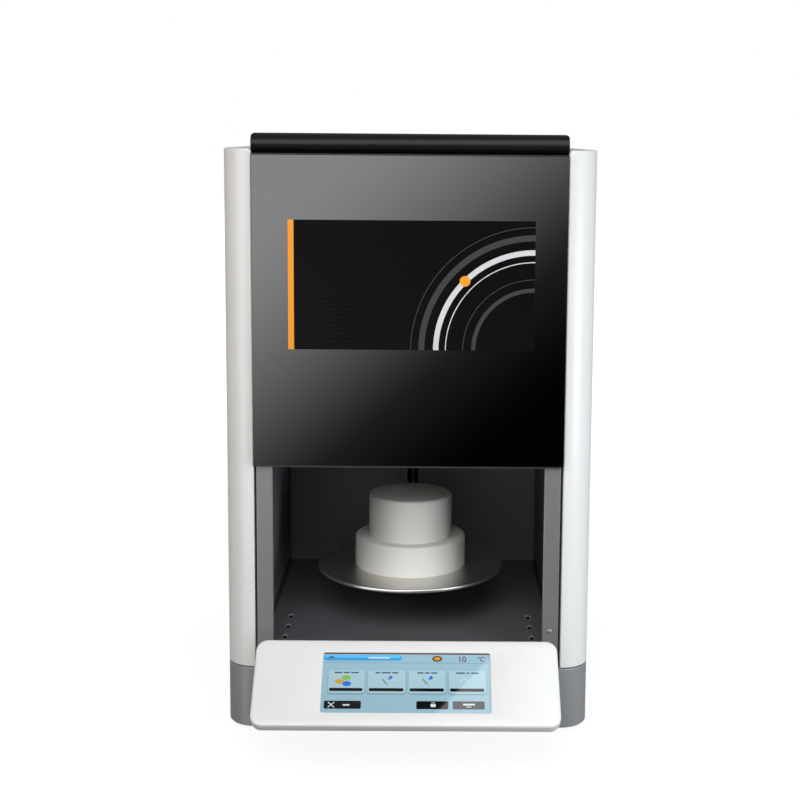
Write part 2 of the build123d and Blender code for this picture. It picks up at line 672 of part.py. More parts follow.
def shaft_coupling():
    z0 = coupling_base()
    middle = z0 + COUPLING_HEIGHT / 2
    body = post(0, DRIVE_Y, z0, z0 + COUPLING_HEIGHT, COUPLING_RADIUS)
    body -= post(0, DRIVE_Y, z0 - 1, middle, 5.0)
    body -= post(0, DRIVE_Y, middle, z0 + COUPLING_HEIGHT + 1, 3.0)
    for z in (middle - 2.5, middle + 2.5):
        body -= ring(0, DRIVE_Y, z - 0.5, z + 0.5, COUPLING_RADIUS + 1, 9.0)
    return body


def motor_shaft():
    z0 = coupling_base() + COUPLING_HEIGHT / 2 + 1
    return post(0, DRIVE_Y, z0, coupling_base() + COUPLING_HEIGHT + 20, 3.0)


# ---------------------------------------------------------------- power parts
def transformer():
    """Laminated core with a bulging winding on a folded foot."""
    x, y, z = -118.0, BODY_BACK - 59.0, COVER_BOTTOM
    core = Pos(x, y, z + 56) * (Box(96, 46, 100) - Box(66, 60, 70))
    limb = Pos(x, y, z + 56) * Box(26, 46, 72)
    winding = Pos(x, y, z + 56) * fillet(Box(62, 84, 66).edges().filter_by(Axis.Z), 14)
    foot = Pos(x, y, z + 3) * Box(100, 60, 6)
    return core + limb + winding + foot


def power_module():
    """Solid-state controller on a finned heat sink."""
    x, y, z = 122.0, BODY_BACK - 70.0, COVER_BOTTOM
    sink = Pos(x, y, z + 14) * Box(60, 70, 8)
    for step in range(7):
        sink += Pos(x - 27 + 9 * step, y, z + 5) * Box(2, 70, 10)
    module = Pos(x, y, z + 18 + 11) * fillet(Box(45, 58, 22).edges().filter_by(Axis.Z), 3)
    return sink + module


def control_board():
    """Upright circuit board on stand-offs: relays, capacitors, a processor and connectors."""
    x, y, z = -95.0, BODY_BACK - 14.0, 330.0
    board = Pos(x, y, z) * Box(110, 1.6, 150)
    face = y - 0.8
    for k in range(4):
        board += Pos(x - 38 + 25 * k, face - 8, z + 52) * Box(19, 16, 26)
    for k in range(3):
        board += Pos(x - 30 + 24 * k, face - 9, z) * Rot(90, 0, 0) * Cylinder(8, 18)
    board += Pos(x + 8, face - 1.5, z - 34) * Box(24, 3, 24)
    board += Pos(x, face - 5, z - 66) * Box(96, 10, 12)
    for dx in (-50, 50):
        for dz in (-70, 70):
            board += rod_along_y(x + dx, z + dz, y + 0.8, BODY_BACK - 3.5, 3.0)
    return board


def fan_frame():
    """Square fan body: round throat, corner holes and a motor seat on three arms."""
    x, z = FAN_CENTRE
    y1 = BODY_BACK - 3.5
    y0 = y1 - FAN_DEPTH
    half = FAN_SIDE / 2
    frame = block(x - half, x + half, y0, y1, z - half, z + half)
    frame = fillet(frame.edges().filter_by(Axis.Y), 5)
    frame -= rod_along_y(x, z, y0 - 1, y1 + 1, FAN_BORE)
    for sx in (-1, 1):
        for sz in (-1, 1):
            frame -= rod_along_y(x + sx * 41, z + sz * 41, y0 - 1, y1 + 1, 2.2)
    seat = rod_along_y(x, z, y0, y0 + 3, 18)
    for k in range(3):
        arm = Pos(x, y0 + 1.5, z) * Rot(0, 90 + 120 * k, 0) * Pos(31, 0, 0) * Box(30, 3, 5)
        seat += arm
    return frame + seat - rod_along_y(x, z, y0 - 1, y0 + 4, 3.0 + RUNNING_GAP)


def fan_blade():
    """Blade along X: a thin section that grows wider and flatter from the hub to the tip."""
    sections = []
    for radius, chord, pitch in ((15.0, 15.0, 52.0), (28.0, 20.0, 40.0), (42.0, 24.0, 30.0)):
        turn = math.radians(pitch)
        place = Plane(origin=(radius, 0, 0), x_dir=(0, math.sin(turn), math.cos(turn)),
                      z_dir=(1, 0, 0))
        sections.append(place * SlotOverall(chord, 1.6))
    return loft(sections)


def fan_rotor():
    """Hub with seven twisted blades."""
    x, z = FAN_CENTRE
    y1 = BODY_BACK - 6.2
    seat_y = BODY_BACK - 3.5 - FAN_DEPTH
    y0 = seat_y + 4.2
    rotor = rod_along_y(x, z, y0, y1, 17)
    middle = (y0 + y1) / 2
    blade = fan_blade()
    for k in range(BLADE_COUNT):
        rotor += Pos(x, middle, z) * Rot(0, 360 / BLADE_COUNT * k, 0) * blade
    rotor = rotor & rod_along_y(x, z, y0, y1, FAN_BORE - 2.2)
    return rotor + rod_along_y(x, z, seat_y + 0.2, y0, 3.0)


def power_inlet():
    """Mains inlet: flange, socket with three blades, and its body behind the panel."""
    x, z = INLET_CENTRE
    face = BODY_BACK - 2.0
    flange = block(x - 25, x + 25, face, face + 3, z - 15, z + 15)
    flange = fillet(flange.edges().filter_by(Axis.Y), 4)
    body = block(x - 17, x + 17, face - 22, face, z - 13, z + 13)
    inlet = flange + body - block(x - 14.5, x + 14.5, face - 18, face + 5, z - 10.5, z + 10.5)
    for dx, dz in ((-8, -3), (8, -3), (0, 3.5)):
        inlet += block(x + dx - 1, x + dx + 1, face - 19, face - 2, z + dz - 3.5, z + dz + 3.5)
    for dx in (-20, 20):
        inlet -= rod_along_y(x + dx, z, face - 1, face + 4, 1.8)
    return inlet


def switch_body():
    """Bezel and box of the mains switch."""
    x, z = SWITCH_CENTRE
    face = BODY_BACK - 2.0
    bezel = block(x - 12, x + 12, face, face + 2.4, z - 16, z + 16)
    bezel = fillet(bezel.edges().filter_by(Axis.Y), 2)
    box = block(x - 9.5, x + 9.5, face - 20, face, z - 13.5, z + 13.5)
    switch = bezel + box - block(x - 7.5, x + 7.5, face - 16, face + 5, z - 12, z + 12)
    pivot_y, pivot_z = switch_axis()
    return switch - Pos(x, pivot_y, pivot_z) * Rot(0, 90, 0) * Cylinder(2.5 + RUNNING_GAP, 18)


def switch_axis():
    """Y and Z of the rocker's pivot."""
    return BODY_BACK - 7.0, SWITCH_CENTRE[1]


def switch_rocker():
    """Rocker with two flats that meet in a shallow valley, stored with its upper end pressed."""
    x = SWITCH_CENTRE[0]
    pivot_y, pivot_z = switch_axis()
    side = [(-4, -9), (3.2, -10.4), (7.0, -9.8), (4.9, 0), (7.0, 9.8), (3.2, 10.4), (-4, 9)]
    outline = Plane.YZ * make_face(Polyline(*side, close=True))
    rocker = extrude(outline, 7.1, both=True)
    rocker += Rot(0, 90, 0) * Cylinder(2.5, 17.4)
    return Pos(x, pivot_y, pivot_z) * Rot(ROCKER_TILT, 0, 0) * rocker


# ---------------------------------------------------------------- console
def on_console(shape):
    """Carries a piece from the console's own frame (X across, Y up the face, Z out of it)."""
    y, z = CONSOLE_CENTRE
    return Pos(0, y, z) * Rot(CONSOLE_TILT, 0, 0) * shape


def console_face():
    """Thick white face plate with soft edges, a screen window and a seat for the glass behind it."""
    plate = Pos(0, 0, -CONSOLE_THICK / 2) * Box(CONSOLE_WIDTH, CONSOLE_LENGTH, CONSOLE_THICK)
    plate = fillet(plate.edges().filter_by(Axis.Z), CONSOLE_CORNER)
    plate = fillet(plate.edges().group_by(Axis.Z)[-1], 2.4)
    plate = fillet(plate.edges().group_by(Axis.Z)[0], 1.2)
    window = Box(SCREEN_WIDTH, SCREEN_HEIGHT, 8)
    window = fillet(window.edges().filter_by(Axis.Z), 2.5)
    seat = Box(SCREEN_WIDTH + 9, SCREEN_HEIGHT + 9, 20)
    plate -= window
    plate -= Pos(0, 0, -SCREEN_RECESS - 10) * seat
    return on_console(plate)


def touch_glass():
    pane = Pos(0, 0, -SCREEN_RECESS - 0.9) * Box(SCREEN_WIDTH + 8, SCREEN_HEIGHT + 8, 1.8)
    return on_console(pane)


def display_module():
    """Liquid-crystal panel and its driver board behind the glass."""
    z_face = -SCREEN_RECESS - 1.8
    panel = Pos(0, 0, z_face - 2.5) * Box(SCREEN_WIDTH + 6, SCREEN_HEIGHT + 6, 5)
    board = Pos(0, 0, z_face - 6) * Box(SCREEN_WIDTH - 20, SCREEN_HEIGHT - 10, 2)
    return on_console(panel + board)


def console_housing():
    """Wedge behind the face plate that joins it to the front of the base."""
    tilt = math.radians(CONSOLE_TILT)
    y, z = CONSOLE_CENTRE

    def at(along, depth):
        """Y and Z of a point of the console, given up its face and out of it."""
        return (y + along * math.cos(tilt) - depth * math.sin(tilt),
                z + along * math.sin(tilt) + depth * math.cos(tilt))

    reach = CONSOLE_LENGTH / 2 - 9
    side = [at(reach, -CONSOLE_THICK), at(-reach, -CONSOLE_THICK),
            (COVER_FACE, 16.0), (COVER_FACE, BAY_FLOOR - 4)]
    outline = Plane.YZ * make_face(Polyline(*side, close=True))
    half = CONSOLE_WIDTH / 2 - 10
    wedge = extrude(outline, half, both=True)
    cheeks = wedge.faces().filter_by(Axis.X).edges()
    front = [e for e in cheeks if e.center().Y < COVER_FACE - 1]
    wedge = fillet(front, 5.0)
    hollow = [at(reach - 10, -CONSOLE_THICK + 1), at(-reach + 14, -CONSOLE_THICK + 1),
              (COVER_FACE - 14, 28.0), (COVER_FACE - 14, BAY_FLOOR - 12)]
    pocket = extrude(Plane.YZ * make_face(Polyline(*hollow, close=True)), half - 4, both=True)
    return wedge - pocket


# ---------------------------------------------------------------- all pieces, by node name
NODES = {
    "base_tray": base_tray,
    "rubber_feet": rubber_feet,
    "chassis_plate": chassis_plate,
    "side_cover_right": side_cover_right,
    "side_cover_left": lambda: mirrored(side_cover_right()),
    "front_panel": front_panel,
    "front_frame": front_frame,
    "top_hood": top_hood,
    "rear_panel": rear_panel,
    "rear_screws": rear_screws,
    "pillar_right": pillar_right,
    "pillar_left": pillar_left,
    "pillar_screws": pillar_screws,
    "rear_posts": rear_posts,
    "top_rails": top_rails,
    "bay_wall_right": bay_wall_right,
    "bay_wall_left": lambda: mirrored(bay_wall_right()),
    "bay_back_right": bay_back_right,
    "bay_back_left": lambda: mirrored(bay_back_right()),
    "bay_floor": bay_floor,
    "bay_ceiling": bay_ceiling,
    "insulation_mouth": insulation_mouth,
    "insulation_floor": insulation_floor,
    "insulation_wall": insulation_wall,
    "insulation_roof": insulation_roof,
    "chamber_drum": chamber_drum,
    "heating_elements": heating_elements,
    "element_clamps": element_clamps,
    "thermocouple": thermocouple,
    "lift_plate": lift_plate,
    "plug_base": plug_base,
    "plug_block": plug_block,
    "lift_hub": lift_hub,
    "lift_arm": lift_arm,
    "lift_carriage": lift_carriage,
    "slide_bushes": slide_bushes,
    "lift_nut": lift_nut,
    "drive_plate_lower": lambda: drive_plate(DRIVE_BOTTOM),
    "drive_plate_upper": lambda: drive_plate(DRIVE_TOP),
    "guide_rods": guide_rods,
    "screw_bearings": screw_bearings,
    "motor_bracket": motor_bracket,
    "lift_motor": lift_motor,
    "lead_screw": lead_screw,
    "shaft_coupling": shaft_coupling,
    "motor_shaft": motor_shaft,
    "transformer": transformer,
    "power_module": power_module,
    "control_board": control_board,
    "fan_frame": fan_frame,
    "fan_rotor": fan_rotor,
    "power_inlet": power_inlet,
    "switch_body": switch_body,
    "switch_rocker": switch_rocker,
    "console_face": console_face,
    "touch_glass": touch_glass,
    "display_module": display_module,
    "console_housing": console_housing,
}

os.makedirs("parts", exist_ok=True)
for node, make in NODES.items():
    export_step(make(), f"parts/{node}.step")
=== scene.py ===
"""Looks of a bench-top dental sintering furnace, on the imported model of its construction."""

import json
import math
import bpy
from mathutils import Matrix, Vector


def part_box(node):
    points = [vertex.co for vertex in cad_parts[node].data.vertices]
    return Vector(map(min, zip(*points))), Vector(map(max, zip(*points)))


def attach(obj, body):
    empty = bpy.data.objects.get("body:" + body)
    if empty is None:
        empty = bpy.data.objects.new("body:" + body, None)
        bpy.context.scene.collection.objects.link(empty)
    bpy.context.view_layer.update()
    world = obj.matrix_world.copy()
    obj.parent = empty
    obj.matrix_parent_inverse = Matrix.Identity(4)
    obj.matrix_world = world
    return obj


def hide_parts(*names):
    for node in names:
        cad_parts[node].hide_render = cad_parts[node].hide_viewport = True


bl_info = {
    "name": "Dental lab furnace",
    "version": (1, 0, 0),
    "blender": (4, 5, 0),
    "location": "View3D > Sidebar > Furnace",
    "description": "Dresses the furnace's construction with its shells, screen, finishes and stage",
    "category": "Object",
}

import bmesh
import bpy
import numpy as np
from bpy.props import FloatProperty, FloatVectorProperty, IntProperty, PointerProperty
from mathutils import Matrix

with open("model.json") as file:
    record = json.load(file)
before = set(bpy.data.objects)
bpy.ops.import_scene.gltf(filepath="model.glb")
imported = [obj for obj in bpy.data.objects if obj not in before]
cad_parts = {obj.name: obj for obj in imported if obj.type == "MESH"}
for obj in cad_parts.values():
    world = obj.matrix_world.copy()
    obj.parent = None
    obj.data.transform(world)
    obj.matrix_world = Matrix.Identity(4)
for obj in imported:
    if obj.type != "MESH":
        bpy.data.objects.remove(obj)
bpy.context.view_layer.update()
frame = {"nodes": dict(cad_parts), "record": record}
NODES = frame["nodes"]

# Places that the construction gives, in metres.
PANEL_LOW, PANEL_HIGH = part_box("front_panel")
COVER_LOW, COVER_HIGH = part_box("side_cover_right")
PLATE_LOW, PLATE_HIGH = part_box("lift_plate")
STEP_LOW, STEP_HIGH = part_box("plug_base")
BLOCK_LOW, BLOCK_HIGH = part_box("plug_block")
LIFT_Y = (PLATE_LOW.y + PLATE_HIGH.y) / 2
PANEL_FACE = PANEL_LOW.y
FLOOR_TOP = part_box("bay_back_right")[0].z
LOUVRE_X = 0.136
LOUVRE_Y = [PANEL_FACE + back for back in (0.052, 0.086, 0.120)]

CONSOLE_TILT = math.radians(40.6)
CONSOLE_MIDDLE = (0.0, PANEL_FACE - 0.082, 0.0898)


# ------------------------------------------------------------------ settings
def colour(name, text, default):
    """A colour that a user would change, in linear light."""
    return FloatVectorProperty(name=name, description=text, subtype="COLOR", size=3,
                               min=0.0, max=1.0, default=default)


def length(name, text, default):
    """A length in metres."""
    return FloatProperty(name=name, description=text, unit="LENGTH", subtype="DISTANCE",
                         min=0.0, default=default)


class FurnaceColours(bpy.types.PropertyGroup):
    """Colours of the furnace's finishes."""

    cover: colour("Covers", "Off-white paint of the side covers", (0.80, 0.79, 0.775))
    base: colour("Base", "Grey paint of the base", (0.255, 0.258, 0.265))
    pillar: colour("Pillars", "Light grey paint of the two pillars", (0.20, 0.20, 0.20))
    cabin: colour("Loading bay", "Dark paint of the bay's sheet", (0.125, 0.126, 0.136))
    front: colour("Front panel", "Black of the glossy front panel", (0.0008, 0.0008, 0.0009))
    hood: colour("Hood", "Black of the rolled hood", (0.0035, 0.0035, 0.004))
    steel: colour("Disc", "Stainless steel of the lift's disc", (0.62, 0.61, 0.585))
    fibre: colour("Plug", "Ceramic fibre of the plug", (0.765, 0.75, 0.715))
    console: colour("Console", "White of the tilted console", (0.835, 0.83, 0.815))
    accent: colour("Accent", "Orange of the front's accents", (0.93, 0.33, 0.02))
    silver: colour("Silver", "Silver of the front's bands", (0.62, 0.62, 0.63))
    screen: colour("Screen", "Pale blue ground of the screen", (0.34, 0.54, 0.645))
    card: colour("Screen card", "Paler blue of the screen's four cards", (0.42, 0.62, 0.70))
    tab: colour("Screen tab", "Blue of the screen's tab", (0.055, 0.36, 0.72))
    digits: colour("Screen digits", "Purple of the temperature", (0.19, 0.07, 0.20))


class FurnaceSizes(bpy.types.PropertyGroup):
    """Sizes of what is laid over the construction."""

    cover_corner: length("Cover corner", "Radius of the covers' front corners", 0.030)
    cover_back: length("Cover back corner", "Radius of the covers' back corners", 0.010)
    cover_edge: length("Cover edge", "Rounding of the covers' folded edges", 0.0016)
    shade_bead: length("Seal", "Radius of the beads along the bay's floor", 0.0035)
    hood_width: length("Louvre width", "Width of a louvre's eyebrow", 0.0068)
    hood_rise: length("Louvre rise", "Rise of a louvre's eyebrow", 0.0031)
    hood_length: length("Louvre length", "Length of a louvre's eyebrow", 0.0072)
    plug_edge: length("Plug edge", "Rounding of the plug's upper edges", 0.0032)
    disc_edge: length("Disc edge", "Rounding of the disc's rolled rim", 0.0014)
    console_width: length("Console width", "Width of the console's face", 0.310)
    console_length: length("Console length", "Length of the console's face", 0.0955)
    console_thick: length("Console thickness", "Thickness of the console's plate", 0.012)
    console_corner: length("Console corner", "Corner radius of the console's face", 0.012)
    screen_width: length("Screen width", "Width of the window in the console", 0.171)
    screen_height: length("Screen height", "Height of the window in the console", 0.0668)
    art_width: length("Print width", "Width of the printed field on the front", 0.255)
    art_height: length("Print height", "Height of the printed field on the front", 0.1345)
    round_steps: IntProperty(name="Round steps", description="Faces round the plug and disc",
                             min=24, max=512, default=256)


class FurnaceStage(bpy.types.PropertyGroup):
    """Camera and light."""

    lens: FloatProperty(name="Lens", description="Focal length of the camera, in millimetres",
                        min=10.0, max=300.0, default=63.94)
    shift: FloatVectorProperty(name="Shift", description="Shift of the camera's frame, across and up",
                               size=2, min=-0.5, max=0.5, default=(-0.05, -0.0959))
    ambient: FloatProperty(name="Ambient", description="Strength of the even light from all round",
                           min=0.0, max=5.0, default=0.26)
    key: FloatProperty(name="Key", description="Power of the soft light over the front, in watts",
                       min=0.0, max=500.0, default=12.8)
    side: FloatProperty(name="Side", description="Power of the small light on the right, in watts",
                        min=0.0, max=500.0, default=8.1)
    fill: FloatProperty(name="Fill", description="Power of the soft light on the left, in watts",
                        min=0.0, max=500.0, default=3.5)
    back: FloatProperty(name="Back", description="Power of each soft light behind, in watts",
                        min=0.0, max=500.0, default=9.0)
    sheen: FloatProperty(name="Front card", description="Brightness of the card that the front shows",
                         min=0.0, max=20.0, default=2.9)
    glare: FloatProperty(name="Glare", description="Brightness of the card that the screen shows",
                         min=0.0, max=20.0, default=3.2)


# ------------------------------------------------------------------ surfaces
def mesh_piece(name, points, faces, body, material, sharp=35.0):
    """A mesh object of that name on a body, smooth except where faces meet above sharp degrees."""
    mesh = bpy.data.meshes.new(name)
    mesh.from_pydata(np.asarray(points, float).reshape(-1, 3), [], faces)
    mesh.polygons.foreach_set("use_smooth", np.ones(len(mesh.polygons), bool))
    mesh.set_sharp_from_angle(angle=math.radians(sharp))
    mesh.materials.append(material)
    mesh.update()
    piece = bpy.data.objects.new(name, mesh)
    bpy.context.scene.collection.objects.link(piece)
    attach(piece, body)
    return piece


def quads(rows, columns, wrap_rows=False, wrap_columns=True, start=0):
    """Faces of a grid of points stored row by row. Wrapping joins the last row or column to the first."""
    r = np.arange(rows if wrap_rows else rows - 1)
    c = np.arange(columns if wrap_columns else columns - 1)
    r, c = np.meshgrid(r, c, indexing="ij")
    r2, c2 = (r + 1) % rows, (c + 1) % columns
    corners = [r * columns + c, r * columns + c2, r2 * columns + c2, r2 * columns + c]
    return (np.stack(corners, -1).reshape(-1, 4) + start).tolist()


def loft(rings, close=False, cap_first=False, cap_last=False):
    """Points and faces of a skin over closed rings, given as an array of ring, point and XYZ.
    Each ring runs anticlockwise as seen from where the rings lead, so faces point outwards."""
    count, around = rings.shape[:2]
    faces = quads(count, around, wrap_rows=close)
    if cap_first:
        faces.append(list(range(around))[::-1])
    if cap_last:
        faces.append(list(range((count - 1) * around, count * around)))
    return rings.reshape(-1, 3), faces


def join_parts(parts):
    """Several sets of points and faces as one."""
    points, faces, start = [], [], 0
    for p, f in parts:
        p = np.asarray(p, float).reshape(-1, 3)
        points.append(p)
        faces.extend([[i + start for i in face] for face in f])
        start += len(p)
    return np.concatenate(points), faces


def rounded_outline(half_x, half_y, radius, steps=10):
    """A rectangle with round corners, anticlockwise: each corner is a quarter circle of that radius
    about a point that lies one radius inside both sides."""
    turn = np.linspace(0.0, math.pi / 2, steps)
    out = []
    for quarter, (sx, sy) in enumerate(((1, 1), (-1, 1), (-1, -1), (1, -1))):
        a = turn + quarter * math.pi / 2
        out.append(np.stack([sx * (half_x - radius) + radius * np.cos(a),
                             sy * (half_y - radius) + radius * np.sin(a)], -1))
    return np.concatenate(out)


def quarter_turn(steps):
    """Cosine and sine over a quarter circle."""
    a = np.linspace(0.0, math.pi / 2, steps)
    return np.cos(a), np.sin(a)


def turned(profile, centre, steps):
    """Rings of a lathe: each (radius, height) of the profile goes round an upright axis."""
    a = np.linspace(0.0, 2 * math.pi, steps, endpoint=False)
    r, z = np.asarray(profile, float).T
    rings = np.zeros((len(r), steps, 3))
    rings[..., 0] = centre[0] + r[:, None] * np.cos(a)
    rings[..., 1] = centre[1] + r[:, None] * np.sin(a)
    rings[..., 2] = z[:, None]
    return rings


def tile(x, y, width, height, radius, top, thick=0.00004, steps=8):
    """A flat rounded tile about (x, y), from thick below the top up to it."""
    plan = rounded_outline(width / 2, height / 2, max(radius, 1e-5), steps) + (x, y)
    rings = [np.column_stack([plan, np.full(len(plan), z)]) for z in (top - thick, top)]
    return loft(np.array(rings), cap_first=True, cap_last=True)


def oval(x, y, width, height, top, thick=0.00004, steps=40):
    """A flat ellipse about (x, y)."""
    a = np.linspace(0.0, 2 * math.pi, steps, endpoint=False)
    plan = np.stack([x + width / 2 * np.cos(a), y + height / 2 * np.sin(a)], -1)
    rings = [np.column_stack([plan, np.full(len(plan), z)]) for z in (top - thick, top)]
    return loft(np.array(rings), cap_first=True, cap_last=True)


def stroke(path, width, top, thick=0.00004, close=False):
    """A flat ribbon along a path: each point moves half the width to both sides, square to the
    path's direction there."""
    path = np.asarray(path, float)
    ahead = np.roll(path, -1, 0) - np.roll(path, 1, 0)
    if not close:
        ahead[0], ahead[-1] = path[1] - path[0], path[-1] - path[-2]
    ahead /= np.linalg.norm(ahead, axis=1)[:, None]
    side = np.stack([-ahead[:, 1], ahead[:, 0]], -1) * width / 2
    corners = [(path - side, top - thick), (path - side, top), (path + side, top),
               (path + side, top - thick)]
    ribbon = np.stack([np.column_stack([plan, np.full(len(plan), z)]) for plan, z in corners], 1)
    faces = quads(len(path), 4, wrap_rows=close)
    if not close:
        faces += [[3, 2, 1, 0], [len(path) * 4 - 4 + k for k in range(4)]]
    return ribbon.reshape(-1, 3), [face[::-1] for face in faces]


def words(text, x, y, height, top, thick=0.00004, align="LEFT"):
    """Letters cut from a thin sheet, of that height above their base line."""
    curve = bpy.data.curves.new("letters", "FONT")
    curve.body = text
    curve.size = height / 0.70
    curve.align_x = align
    curve.offset = height * 0.02
    curve.extrude = thick / 2
    holder = bpy.data.objects.new("letters", curve)
    bpy.context.scene.collection.objects.link(holder)
    flat = bpy.data.meshes.new_from_object(holder.evaluated_get(bpy.context.evaluated_depsgraph_get()))
    cut = bmesh.new()
    cut.from_mesh(flat)
    bmesh.ops.remove_doubles(cut, verts=cut.verts, dist=1e-6)
    bmesh.ops.recalc_face_normals(cut, faces=cut.faces)
    cut.to_mesh(flat)
    cut.free()
    points = np.empty(len(flat.vertices) * 3)
    flat.vertices.foreach_get("co", points)
    points = points.reshape(-1, 3) + (x, y, top - thick / 2)
    faces = [list(face.vertices) for face in flat.polygons]
    bpy.data.objects.remove(holder)
    bpy.data.curves.remove(curve)
    bpy.data.meshes.remove(flat)
    return points, faces


# ------------------------------------------------------------------ materials
class Paintbox:
    """Makes a material's nodes. Its shader stays in the material and shared effects are groups."""

    def __init__(self, name):
        self.material = bpy.data.materials.new(name)
        self.material.use_nodes = True
        self.tree = self.material.node_tree
        self.shader = self.tree.nodes["Principled BSDF"]
        self.where = self.add("ShaderNodeTexCoord").outputs["Object"]

    def add(self, kind, **settings):
        node = self.tree.nodes.new(kind)
        for key, value in settings.items():
            setattr(node, key, value)
        return node

    def link(self, output, socket):
        self.tree.links.new(output, socket)

    def plain(self, **values):
        """Sets numbers and colours on the shader's own sockets."""
        for key, value in values.items():
            socket = self.shader.inputs[key.replace("_", " ")]
            socket.default_value = (*value, 1.0) if socket.type == "RGBA" else value

    def group(self, tree, vector=None, **values):
        """Places a shared effect. Names of inputs use an underscore for a space."""
        node = self.add("ShaderNodeGroup", node_tree=tree)
        self.link(vector or self.where, node.inputs["Place"])
        for key, value in values.items():
            socket = node.inputs[key.replace("_", " ")]
            if hasattr(value, "is_output"):
                self.link(value, socket)
            else:
                socket.default_value = (*value, 1.0) if socket.type == "RGBA" else value
        return node

    def wear(self, node, bump=0.2, distance=0.0004):
        """Feeds an effect's colour, roughness and height to the shader."""
        self.link(node.outputs["Colour"], self.shader.inputs["Base Color"])
        self.link(node.outputs["Roughness"], self.shader.inputs["Roughness"])
        relief = self.add("ShaderNodeBump")
        relief.inputs["Strength"].default_value = bump
        relief.inputs["Distance"].default_value = distance
        self.link(node.outputs["Height"], relief.inputs["Height"])
        self.link(relief.outputs["Normal"], self.shader.inputs["Normal"])


def new_group(name, inputs, outputs=("Colour", "Roughness", "Height")):
    """An empty shader group with its named inputs and outputs, and its two end nodes."""
    tree = bpy.data.node_groups.new(name, "ShaderNodeTree")
    kinds = {"Colour": "NodeSocketColor", "Place": "NodeSocketVector"}
    for label, default in inputs.items():
        kind = "NodeSocketColor" if isinstance(default, tuple) else "NodeSocketFloat"
        kind = kinds.get(label, kind)
        socket = tree.interface.new_socket(label, in_out="INPUT", socket_type=kind)
        if label != "Place":
            socket.default_value = default
    for label in outputs:
        kind = kinds.get(label, "NodeSocketFloat")
        tree.interface.new_socket(label, in_out="OUTPUT", socket_type=kind)
    return tree, tree.nodes.new("NodeGroupInput"), tree.nodes.new("NodeGroupOutput")


def noise(tree, place, scale, detail=3.0, rough=0.55, scale_socket=None):
    node = tree.nodes.new("ShaderNodeTexNoise")
    node.inputs["Scale"].default_value = scale
    node.inputs["Detail"].default_value = detail
    node.inputs["Roughness"].default_value = rough
    tree.links.new(place, node.inputs["Vector"])
    if scale_socket:
        tree.links.new(scale_socket, node.inputs["Scale"])
    return node.outputs["Fac"]


def maths(tree, operation, a, b=None, c=None, clamp=False):
    node = tree.nodes.new("ShaderNodeMath")
    node.operation = operation
    node.use_clamp = clamp
    for socket, value in zip(node.inputs, (a, b, c)):
        if value is None:
            continue
        if hasattr(value, "is_output"):
            tree.links.new(value, socket)
        else:
            socket.default_value = value
    return node.outputs[0]


def mixed(tree, factor, first, second, mode="MIX"):
    """Two colours mixed by a factor."""
    node = tree.nodes.new("ShaderNodeMix")
    node.data_type = "RGBA"
    node.blend_type = mode
    for socket, value in ((node.inputs[0], factor), (node.inputs[6], first), (node.inputs[7], second)):
        if hasattr(value, "is_output"):
            tree.links.new(value, socket)
        else:
            socket.default_value = (*value, 1.0) if isinstance(value, tuple) else value
    return node.outputs[2]


def paint_group():
    """Sprayed paint: fine orange-peel relief, a faint drift of tone, and gloss that drifts with it."""
    tree, start, end = new_group("Sprayed paint", {
        "Place": None, "Colour": (0.8, 0.8, 0.8, 1.0), "Roughness": 0.4, "Grain": 900.0,
        "Drift": 0.05})
    place = start.outputs["Place"]
    fine = noise(tree, place, 900.0, 4.0, 0.6, start.outputs["Grain"])
    broad = noise(tree, place, 7.0, 3.0)
    swing = maths(tree, "MULTIPLY", maths(tree, "SUBTRACT", broad, 0.5), start.outputs["Drift"])
    shade = maths(tree, "ADD", 1.0, maths(tree, "MULTIPLY", swing, 2.0))
    tone = tree.nodes.new("ShaderNodeVectorMath")
    tone.operation = "SCALE"
    tree.links.new(start.outputs["Colour"], tone.inputs[0])
    tree.links.new(shade, tone.inputs["Scale"])
    tree.links.new(tone.outputs[0], end.inputs["Colour"])
    gloss = maths(tree, "ADD", start.outputs["Roughness"], maths(tree, "MULTIPLY", swing, 1.2), clamp=True)
    tree.links.new(gloss, end.inputs["Roughness"])
    tree.links.new(fine, end.inputs["Height"])
    return tree


def metal_group():
    """Turned metal: fine rings round the upright axis of its place, over a faint stain."""
    tree, start, end = new_group("Turned metal", {
        "Place": None, "Colour": (0.6, 0.6, 0.6, 1.0), "Roughness": 0.3, "Rings": 1400.0,
        "Swing": 0.25})
    split = tree.nodes.new("ShaderNodeSeparateXYZ")
    tree.links.new(start.outputs["Place"], split.inputs[0])
    x, y, z = split.outputs
    radius = maths(tree, "SQRT", maths(tree, "ADD", maths(tree, "MULTIPLY", x, x),
                                       maths(tree, "MULTIPLY", y, y)))
    line = tree.nodes.new("ShaderNodeCombineXYZ")
    tree.links.new(radius, line.inputs[0])
    tree.links.new(maths(tree, "MULTIPLY", z, 0.2), line.inputs[1])
    rings = noise(tree, line.outputs[0], 1400.0, 2.0, 0.5, start.outputs["Rings"])
    stain = noise(tree, start.outputs["Place"], 18.0, 4.0)
    both = maths(tree, "ADD", maths(tree, "SUBTRACT", rings, 0.5), maths(tree, "SUBTRACT", stain, 0.5))
    swing = maths(tree, "MULTIPLY", both, start.outputs["Swing"])
    tone = tree.nodes.new("ShaderNodeVectorMath")
    tone.operation = "SCALE"
    tree.links.new(start.outputs["Colour"], tone.inputs[0])
    tree.links.new(maths(tree, "ADD", 1.0, swing), tone.inputs["Scale"])
    tree.links.new(tone.outputs[0], end.inputs["Colour"])
    tree.links.new(maths(tree, "ADD", start.outputs["Roughness"], swing, clamp=True),
                   end.inputs["Roughness"])
    tree.links.new(rings, end.inputs["Height"])
    return tree


